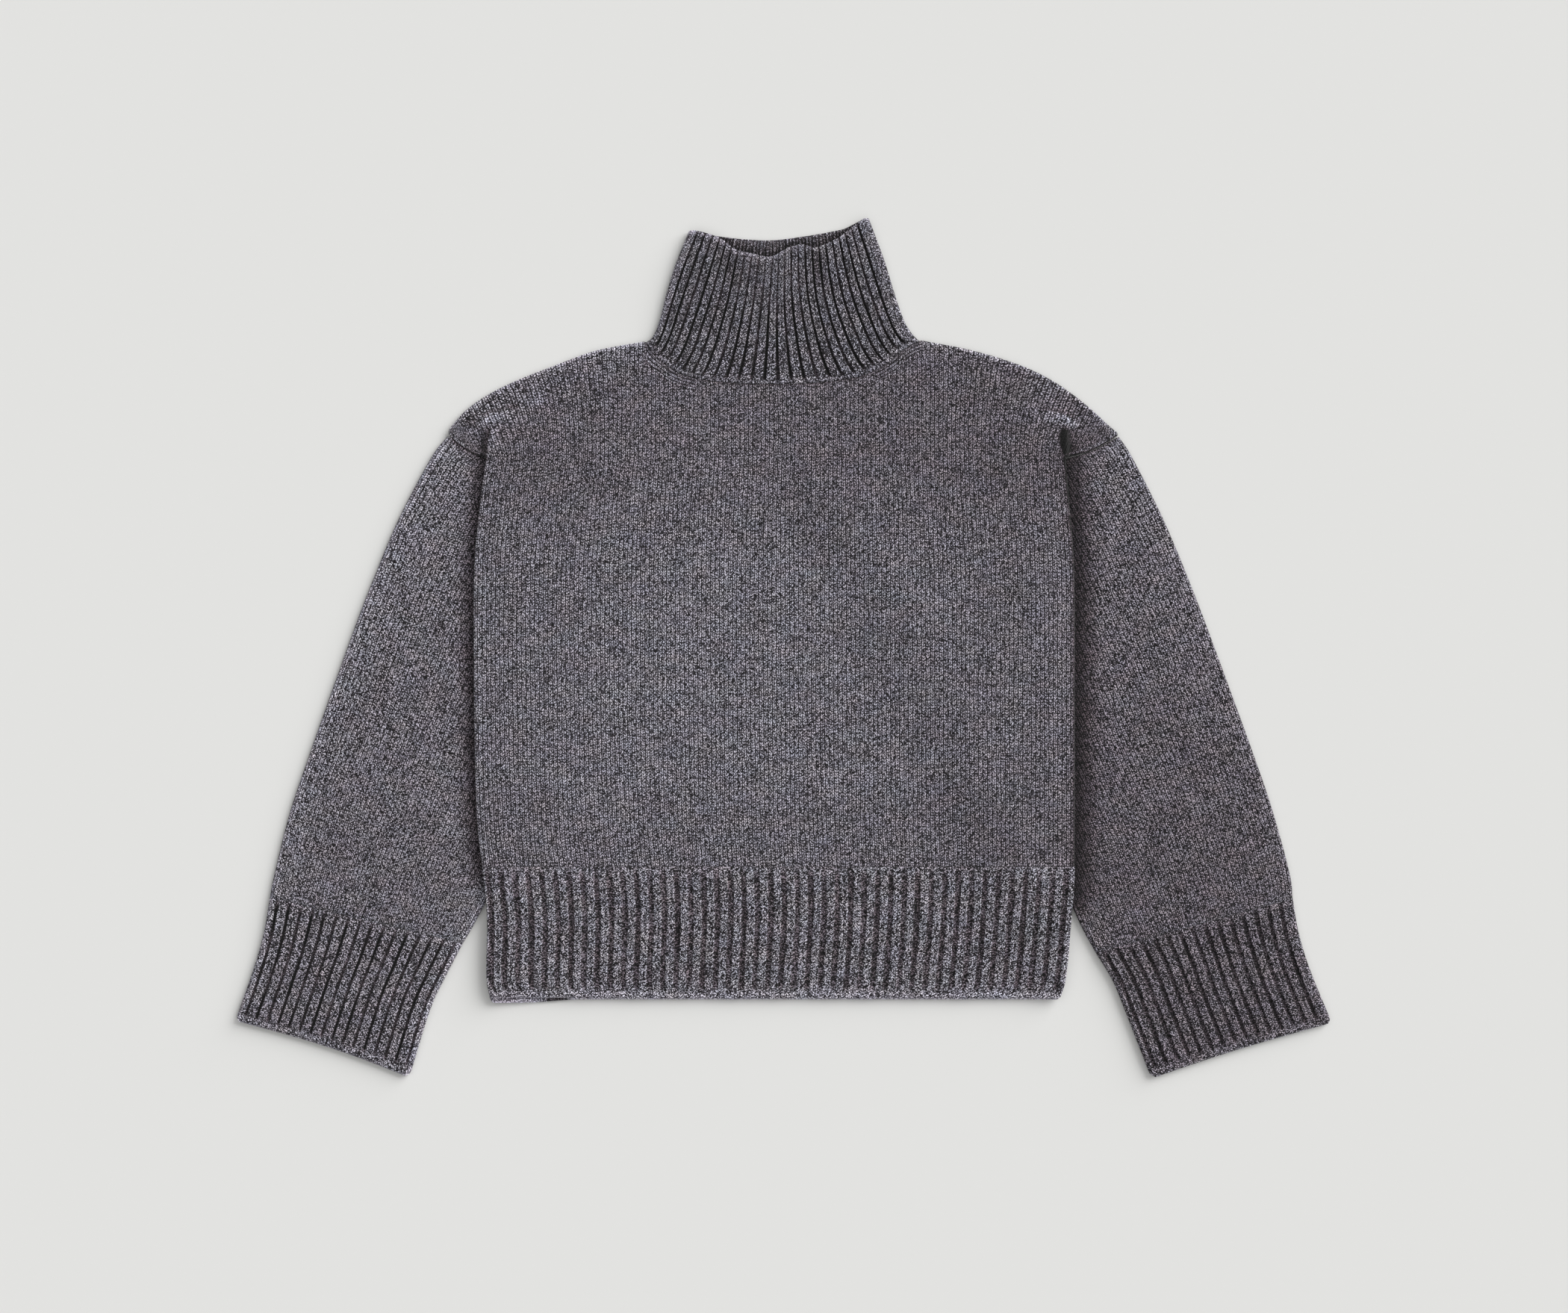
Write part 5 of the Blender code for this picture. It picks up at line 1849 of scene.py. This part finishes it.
@dataclass
class Cuff:
    """Ribbed cuff with a rolled edge."""

    name: str
    side: Side
    table: list[SleeveRow]
    pattern: RibPattern
    # painted shade over the whole cuff, as it gets less light
    painted_dimming: float = 0.0
    bend: int = 8
    corner: float = 1.0  # radius of the rounding at the end's corners
    hollow: float = 3.0  # how far the end draws in between them
    end_round: float = 6.0  # how far before the end its sides start to draw in
    levels: tuple[Level, ...] = (
        Level(0.0, 0.1, 0.4),
        Level(0.06, 1.0, 0.0),
        Level(0.35, 1.0, 0.0),
        Level(0.65, 1.0, 0.0),
        Level(0.915, 1.0, 0.0),
        Level(0.94, 0.3, -0.1),
        Level(0.955, 0.0, 0.3),
        Level(0.972, 0.0, 0.95),
        Level(0.987, 0.0, 0.6),
        Level(1.0, 0.0, -0.9),
    )

    def build(self, material: bpy.types.Material) -> bpy.types.Object:
        """Make the piece.

        Args:
            material: The rib knit.

        Returns:
            The piece.
        """
        front = self.pattern.shares()
        back = front[thinned(len(front), 2)]
        outer = Ring.round(front, self.pattern.wales(front), back, self.pattern.wales(back), self.bend)
        few = np.linspace(0.0, 1.0, 9)
        few_wales = few * 3.0 * self.pattern.repeats
        inner = Ring.round(few, few_wales, few, few_wales, 3)
        plan, length = limb_plan(self.table, None)

        def outer_relief(share: Array, v: Array, up: Array) -> Array:
            """Raised ribs on the front; sunk grooves on the back, which rests flat."""
            rib, rise = level_relief(self.levels, v)
            height = rib * self.pattern.relief(share)
            raised = RIB_HEIGHT * height + rise - (WALL - RIB_WALL)
            sunk = BACK_GROOVE * (1.0 - height) * (1.0 - smooth((v - 0.93) / 0.04))
            return by_side(up, raised, sunk)

        def shade(share: Array, v: Array, _x: Array, _y: Array, up: Array) -> Array:
            """Painted shade in the grooves and over the cuff, painted highlight along the open edge and on
            the rolled end.
            """
            groove = level_relief(self.levels, v)[0] * self.pattern.darkness(share, v * length)
            loops = 0.5 + 0.5 * np.sin(math.tau * share * self.pattern.repeats * 2.7)
            roll = (0.05 + 0.12 * loops) * bell(v - 0.965, 0.025) + smooth((v - 0.984) / 0.012)
            light = edge_light(self.pattern.inset(share), self.side) * (up > -0.5)
            return 1.0 - (1.0 - groove) * (1.0 + light) * (1.0 + roll) * (1.0 - self.painted_dimming)

        def rounded(layer: Array, share: Array, along: Array) -> tuple[Array, Array]:
            """The plan, with the end drawn in between its corners."""
            corners = self.corner * round_drop(self.pattern.inset(share), self.corner)
            drawn = corners + self.hollow * np.sin(np.pi * share)
            return plan(layer, share, along - drawn / length * smooth((along - 0.8) / 0.2))

        start = [0.1 / length, 0.008, 0.018, 0.03]
        rows = np.concatenate([start, np.linspace(0.045, 0.905, 40), np.linspace(0.915, 1.0, 14)])
        tube = Tube(
            self.name, outer, inner, rows, length, rounded, outer_relief, shade, end_round=self.end_round
        )
        return tube.build(material)


@dataclass
class Collar:
    """Turtleneck collar: a flattened tube of rib whose front dips at the top, so its back shows inside."""

    pattern: RibPattern
    name: str = "collar_knit"
    length: float = 105.0
    top_thickness: float = 8.6
    inset: float = 0.021  # share of the width that each side's bend takes
    spreads: tuple[float, ...] = (0.25, 0.065, -0.087, -0.06)  # how much wider the ribs stand in the middle
    leans: tuple[float, ...] = (0.001, -0.005, -0.009, -0.002)  # how far the middle ribs stand to the right
    spread_at: tuple[float, ...] = (0.0, 0.3, 0.65, 1.0)
    corner: float = 1.0  # how far the lower corners stay off the shoulders
    link: float = 3.8  # length of one link of the seam to the body
    inner_height: float = 0.7  # of the ribs inside
    waves: float = 2.6  # soft waves along the top edge
    crest: float = 0.16  # place of the first
    wave_height: float = 0.9
    dimples: tuple[Crease, ...] = (
        Crease(-52.0, 352.0, -40.0, 300.0, -1.3, 7.0),
        Crease(28.0, 350.0, 31.0, 306.0, -1.3, 7.0),
        Crease(-30.0, 340.0, -22.0, 290.0, -0.5, 6.0),
        Crease(-4.0, 346.0, 0.0, 300.0, 0.6, 11.0),
        Crease(58.0, 366.0, 62.0, 320.0, 0.6, 9.0),
    )
    levels: tuple[Level, ...] = (
        Level(0.0, 0.2, 0.0),
        Level(0.03, 1.0, 0.0),
        Level(0.5, 1.0, 0.0),
        Level(0.93, 1.0, 0.0),
        Level(0.97, 0.75, 0.0),
        Level(1.0, 0.3, -0.6),
    )

    def plan(self, layer: Array, share: Array, along: Array) -> tuple[Array, Array]:
        """Plan of the collar.

        Args:
            layer: 1 on the front, 0 on the back.
            share: Share across from left to right.
            along: Share from the neck to the top.

        Returns:
            X and Y.
        """
        wider = curve_value(self.spread_at, self.spreads, along)
        spread = share - wider * np.sin(math.tau * share) / math.tau
        spread = spread + curve_value(self.spread_at, self.leans, along) * np.sin(math.pi * spread)
        across = self.inset + spread * (1.0 - 2.0 * self.inset)
        sides = []
        for neck, top in ((BACK_NECK, COLLAR_BACK_TOP), (FRONT_NECK, COLLAR_FRONT_TOP)):
            low = Outline(neck).at(across)
            high = Outline(top).at(across)
            sides.append(blend(low, high, along[..., None]))
        bow = self.side_bow(COLLAR_LEFT, along) * np.maximum(0.0, 1.0 - 2.0 * share)
        bow = bow + self.side_bow(COLLAR_RIGHT, along) * np.maximum(0.0, 2.0 * share - 1.0)
        back, front = sides
        x = blend(back[..., 0], front[..., 0], layer) + bow
        y = blend(back[..., 1], front[..., 1], layer)
        corner = np.exp(-np.minimum(share, 1.0 - share) / self.inset)
        return x, y + (0.1 + self.corner * corner) * (1.0 - along)

    @staticmethod
    def side_bow(side: list[Spot], along: Array) -> Array:
        """How far a side of the collar stands off the straight line between its two ends."""
        x = blend(side[0].x, side[-1].x, along)
        y = blend(side[0].y, side[-1].y, along)
        return curve_value([s.y for s in side], [s.x for s in side], y) - x

    def build(self, material: bpy.types.Material) -> bpy.types.Object:
        """Make the piece.

        Args:
            material: The collar's knit.

        Returns:
            The piece.
        """
        front = self.pattern.shares()
        back = front[thinned(len(front), 2)]
        wales = self.pattern.wales(front)
        outer = Ring.round(front, wales, back, self.pattern.wales(back), 8)
        inner = Ring.round(front[::4], wales[::4], back, self.pattern.wales(back), 3)

        def lift(share: Array, v: Array) -> Array:
            """Height that the waves and dimples add to the front."""
            wave = np.cos(math.tau * (share - self.crest) * self.waves) * smooth(2.0 * v - 0.9)
            rise = self.wave_height * np.maximum(0.0, wave) * np.sin(np.pi * share)
            x, y = self.plan(1.0 + 0.0 * share, share, v + 0.0 * share)
            return rise + crease_lift(self.dimples, x, y) * smooth((v - 0.3) * 3.0)

        def outer_relief(share: Array, v: Array, up: Array) -> Array:
            """Raised ribs on the front; sunk grooves on the back, which rests flat."""
            rib, rise = level_relief(self.levels, v)
            height = rib * self.pattern.relief(share)
            raised = RIB_HEIGHT * height + rise - (WALL - RIB_WALL) + lift(share, v) * (up > FLAT)
            return by_side(up, raised, BACK_GROOVE * (1.0 - height))

        def inner_relief(share: Array, v: Array, up: Array) -> Array:
            """Ribs on the inside of the back, and the front's waves and dimples."""
            height = level_relief(self.levels, v)[0] * self.pattern.relief(share)
            return np.where(up < -FLAT, self.inner_height * (height - 0.5), lift(share, v) * (up > FLAT))

        def shade(share: Array, v: Array, x: Array, y: Array, up: Array) -> Array:
            """Painted shade in the grooves and dimples; painted highlight on the upper edge, the sides and
            the seam's links.
            """
            inset = np.minimum(share, 1.0 - share)
            drawn_in = 1.0 - 0.6 * smooth((v - 0.5) / 0.25) * bell(share - 0.42, 0.17)
            groove = self.pattern.darkness(share, self.length * v) * smooth((v - 0.02) / 0.03) * drawn_in
            groove = groove * smooth(60.0 * inset)
            dimple = -0.25 * crease_lift(self.dimples, x, y) * (up > FLAT)
            rim = 0.5 * bell(v - 0.99, 0.018) * (up > -0.5)
            links = 0.5 + 0.5 * np.cos(math.tau * x / self.link)
            chain = (0.8 * links - 0.1) * bell(v - 0.016, 0.01) * (up > 0.5)
            light = np.where(share < 0.5, 0.5, 0.2) * bell(inset, 0.014) * smooth((v - 0.05) / 0.1)
            return 1.0 - (1.0 - groove) * (1.0 + light) + dimple - rim - chain

        def inner_shade(share: Array, v: Array, x: Array, y: Array, up: Array) -> Array:
            """Painted shade inside the mouth and in its grooves, lighter towards the back's upper edge."""
            front_edge = Outline(COLLAR_FRONT_TOP).y_over(x)
            painted_shade = 0.34 - 0.5 * smooth((y - front_edge) / 9.0)
            groove = 1.1 * bell(self.pattern.off_groove(share) - 0.22, 0.12)
            return np.where(up < -FLAT, painted_shade + groove - 0.25 * bell(v - 1.0, 0.02), 0.5)

        rows = [np.linspace(0.0, 0.03, 7), np.linspace(0.04, 0.94, 44), np.linspace(0.95, 1.0, 8)]
        return Tube(
            self.name,
            outer,
            inner,
            np.concatenate(rows),
            self.length,
            self.plan,
            outer_relief,
            shade,
            inner_relief,
            inner_shade,
            thickness=lambda v: blend(DOUBLE, self.top_thickness, smooth(v)),
            coarse_rows=1,
        ).build(material)


# ---------------------------------------------------------------- the whole sweater


FRONT_CREASES = [
    Crease(-262.0, -57.0, -120.0, -60.0, 0.9, 8.0),
    Crease(-262.0, -125.0, -112.0, -121.0, 0.8, 8.0),
    Crease(-236.0, 140.0, -232.0, -150.0, 1.3, 20.0),
    Crease(228.0, 150.0, 232.0, -170.0, 1.4, 18.0),
    Crease(-130.0, 190.0, -90.0, 60.0, 0.5, 24.0),
    Crease(128.0, 195.0, 84.0, 50.0, 0.5, 24.0),
    Crease(120.0, -40.0, 240.0, -66.0, 0.8, 12.0),
    Crease(-90.0, -150.0, 90.0, -158.0, 0.7, 16.0),
]
# The folds over the shoulders: a raised roll with painted highlight, a line of painted shade above it, and a
# soft swell with faint painted highlight that runs on inward
PINCH_STROKES = [
    Stroke(spots((-265.5, 190.0), (-260.0, 197.0), (-253.0, 200.8), (-235.0, 204.0)), 3.4, 4.8, -0.7, 2.2),
    Stroke(spots((-263.0, 197.5), (-255.0, 204.0), (-243.0, 207.0), (-226.0, 211.0)), 2.2, 2.0, 0.55, 0.0),
    Stroke(spots((-250.0, 196.0), (-236.0, 205.0), (-205.0, 216.0)), 5.0, 9.0, -0.12, 0.9),
    Stroke(spots((255.5, 189.5), (250.0, 196.0), (243.0, 200.3), (224.0, 203.0)), 3.4, 4.8, -0.7, 2.2),
    Stroke(spots((256.0, 194.0), (249.0, 201.5), (240.0, 204.8), (222.0, 208.5)), 2.4, 2.0, 0.55, 0.0),
    Stroke(spots((244.0, 196.0), (224.0, 204.0), (190.0, 213.0)), 5.0, 10.0, -0.14, 0.9),
]
LEFT_FOLDS = [Fold(0.2, 0.36, 0.9, 1.4, 0.09), Fold(0.4, 0.66, 0.99, 1.0, 0.09)]
RIGHT_FOLDS = [Fold(0.8, 0.36, 0.92, 1.4, 0.09), Fold(0.6, 0.68, 0.99, 1.0, 0.09)]


@dataclass(frozen=True)
class Cut:
    """How one piece was knitted: flat width, length and area in metres."""

    width: float
    length: float
    area: float
    rests_on: tuple[str, ...] = ("floor",)


CUTS = {
    "front_panel": Cut(0.584, 0.457, 0.2260, ("back_panel",)),
    "back_panel": Cut(0.584, 0.457, 0.2320, ("floor", "sleeve_left", "sleeve_right")),
    "front_hem_rib": Cut(0.515, 0.116, 0.0585, ("back_hem_rib",)),
    "back_hem_rib": Cut(0.515, 0.119, 0.0590),
    "collar": Cut(0.430, 0.112, 0.0470),
    "sleeve_left": Cut(0.440, 0.445, 0.1680),
    "sleeve_right": Cut(0.440, 0.445, 0.1680),
    "cuff_left": Cut(0.345, 0.115, 0.0370),
    "cuff_right": Cut(0.345, 0.115, 0.0370),
}


class Sweater:
    """All the pieces, each riding on the one body and standing for its frame node."""

    def __init__(self) -> None:
        """Make the four knits."""
        groups = KnitGroups()
        finishes = (
            MarlFinish(Knit.BODY, groups, 0.525),
            MarlFinish(Knit.SLEEVE, groups, 0.465, 1.45),
            MarlFinish(Knit.RIB, groups, 0.236, 1.43, ribbed=True, rim_light=0.5),
            MarlFinish(Knit.COLLAR, groups, 0.245, 0.98, ribbed=True, rim_light=0.5),
        )
        self.materials = {finish.knit: finish.material() for finish in finishes}

    def adopt(self, piece: bpy.types.Object, knit: Knit) -> None:
        """Let a piece stand for its node.

        Args:
            piece: A piece named for its node, with _knit at the end.
            knit: Not used.
        """
        node = piece.name.removesuffix("_knit")
        cut = CUTS[node]
        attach(piece, "root")
        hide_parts(node)
        rests_on = [name if name == "floor" else name + "_knit" for name in cut.rests_on]
        LOG.info("%s: %d faces", piece.name, len(piece.data.polygons))

    def build(self) -> None:
        """Make every piece in the order of making up."""
        body = self.materials[Knit.BODY]
        sleeve = self.materials[Knit.SLEEVE]
        rib = self.materials[Knit.RIB]
        collar = self.materials[Knit.COLLAR]
        self.adopt(Panel("back_panel_knit", False, BACK_NECK, []).build(body), Knit.BODY)
        self.adopt(Panel("front_panel_knit", True, FRONT_NECK, FRONT_CREASES).build(body), Knit.BODY)
        hem_rib = RibPattern(44.0, 0.19, phase=0.35, groove_shade=0.6)
        self.adopt(HemRib("back_hem_rib_knit", False, hem_rib).build(rib), Knit.RIB)
        self.adopt(HemRib("front_hem_rib_knit", True, hem_rib).build(rib), Knit.RIB)
        collar_rib = RibPattern(25.62, 0.125, phase=0.532, groove_shade=1.0)
        self.adopt(Collar(collar_rib).build(collar), Knit.COLLAR)
        left_crease = SideCrease(0.55, 12.0, 2.4)
        right_crease = SideCrease(0.86, 17.0, 2.6, bottom=-245.0)
        left = Sleeve("sleeve_left_knit", Side.LEFT, SLEEVE_LEFT, ARMHOLE_LEFT, LEFT_FOLDS, left_crease, 0.17)
        right = Sleeve(
            "sleeve_right_knit", Side.RIGHT, SLEEVE_RIGHT, ARMHOLE_RIGHT, RIGHT_FOLDS, right_crease, 0.37
        )
        self.adopt(left.build(sleeve), Knit.SLEEVE)
        self.adopt(right.build(sleeve), Knit.SLEEVE)
        left_rib = RibPattern(15.7, 0.12, phase=0.42, groove_shade=0.88)
        right_rib = RibPattern(15.1, 0.16, phase=0.3, groove_shade=0.68)
        left_cuff = Cuff("cuff_left_knit", Side.LEFT, CUFF_LEFT, left_rib, 0.14)
        right_cuff = Cuff("cuff_right_knit", Side.RIGHT, CUFF_RIGHT, right_rib, 0.36, hollow=1.8)
        self.adopt(left_cuff.build(rib), Knit.RIB)
        self.adopt(right_cuff.build(rib), Knit.RIB)


class Lamp(NamedTuple):
    """A soft distant light: its strength, and its spread, tilt and turn in degrees."""

    strength: float
    spread: float
    tilt: float
    turn: float


@dataclass(frozen=True)
class Studio:
    """Pale floor, soft light from the upper right and a camera straight above."""

    view_width: float = 1.365  # metres across the view, at the sweater
    centre_x: float = 0.00065
    centre_y: float = -0.0078
    lens: float = 85.0
    sensor: float = 36.0
    floor_tone: Colour = (0.74, 0.74, 0.725)
    floor_size: float = 12.0
    floor_drop: float = 0.0003
    key: Lamp = Lamp(3.06, 50.0, 62.0, -50.0)
    top: Lamp = Lamp(1.18, 110.0, 8.0, -50.0)
    sky: float = 0.2

    def build(self) -> None:
        """Make the floor, the light and the camera, with colours shown as they are."""
        bpy.context.scene.view_settings.view_transform = "Standard"
        bpy.ops.mesh.primitive_plane_add(size=self.floor_size, location=(0.0, 0.0, -self.floor_drop))
        floor = bpy.context.active_object
        floor.name = "floor"
        material = bpy.data.materials.new("floor_paper")
        material.use_nodes = True
        shader = material.node_tree.nodes["Principled BSDF"]
        shader.inputs["Base Color"].default_value = (*self.floor_tone, 1.0)
        shader.inputs["Roughness"].default_value = 1.0
        shader.inputs["Specular IOR Level"].default_value = 0.0
        floor.data.materials.append(material)

        world = bpy.data.worlds.new("studio_sky")
        world.use_nodes = True
        world.node_tree.nodes["Background"].inputs["Color"].default_value = (1.0, 1.0, 1.0, 1.0)
        world.node_tree.nodes["Background"].inputs["Strength"].default_value = self.sky
        bpy.context.scene.world = world

        for name, lamp in (("soft_key", self.key), ("soft_top", self.top)):
            light = bpy.data.lights.new(name, "SUN")
            light.energy = lamp.strength
            light.angle = math.radians(lamp.spread)
            sun = bpy.data.objects.new(name, light)
            sun.rotation_euler = (math.radians(lamp.tilt), 0.0, math.radians(lamp.turn + 180.0))
            bpy.context.scene.collection.objects.link(sun)

        camera = bpy.data.cameras.new("camera")
        camera.lens = self.lens
        camera.sensor_width = self.sensor
        camera.dof.use_dof = False
        viewer = bpy.data.objects.new("camera", camera)
        viewer.location = (self.centre_x, self.centre_y, self.view_width * self.lens / self.sensor)
        bpy.context.scene.collection.objects.link(viewer)
        bpy.context.scene.camera = viewer


def main() -> None:
    """Dress the sweater and set up the studio."""
    logging.basicConfig(level=logging.INFO, format="%(name)s: %(message)s")
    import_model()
    Studio().build()
    Sweater().build()


if __name__ == "__main__":
    main()
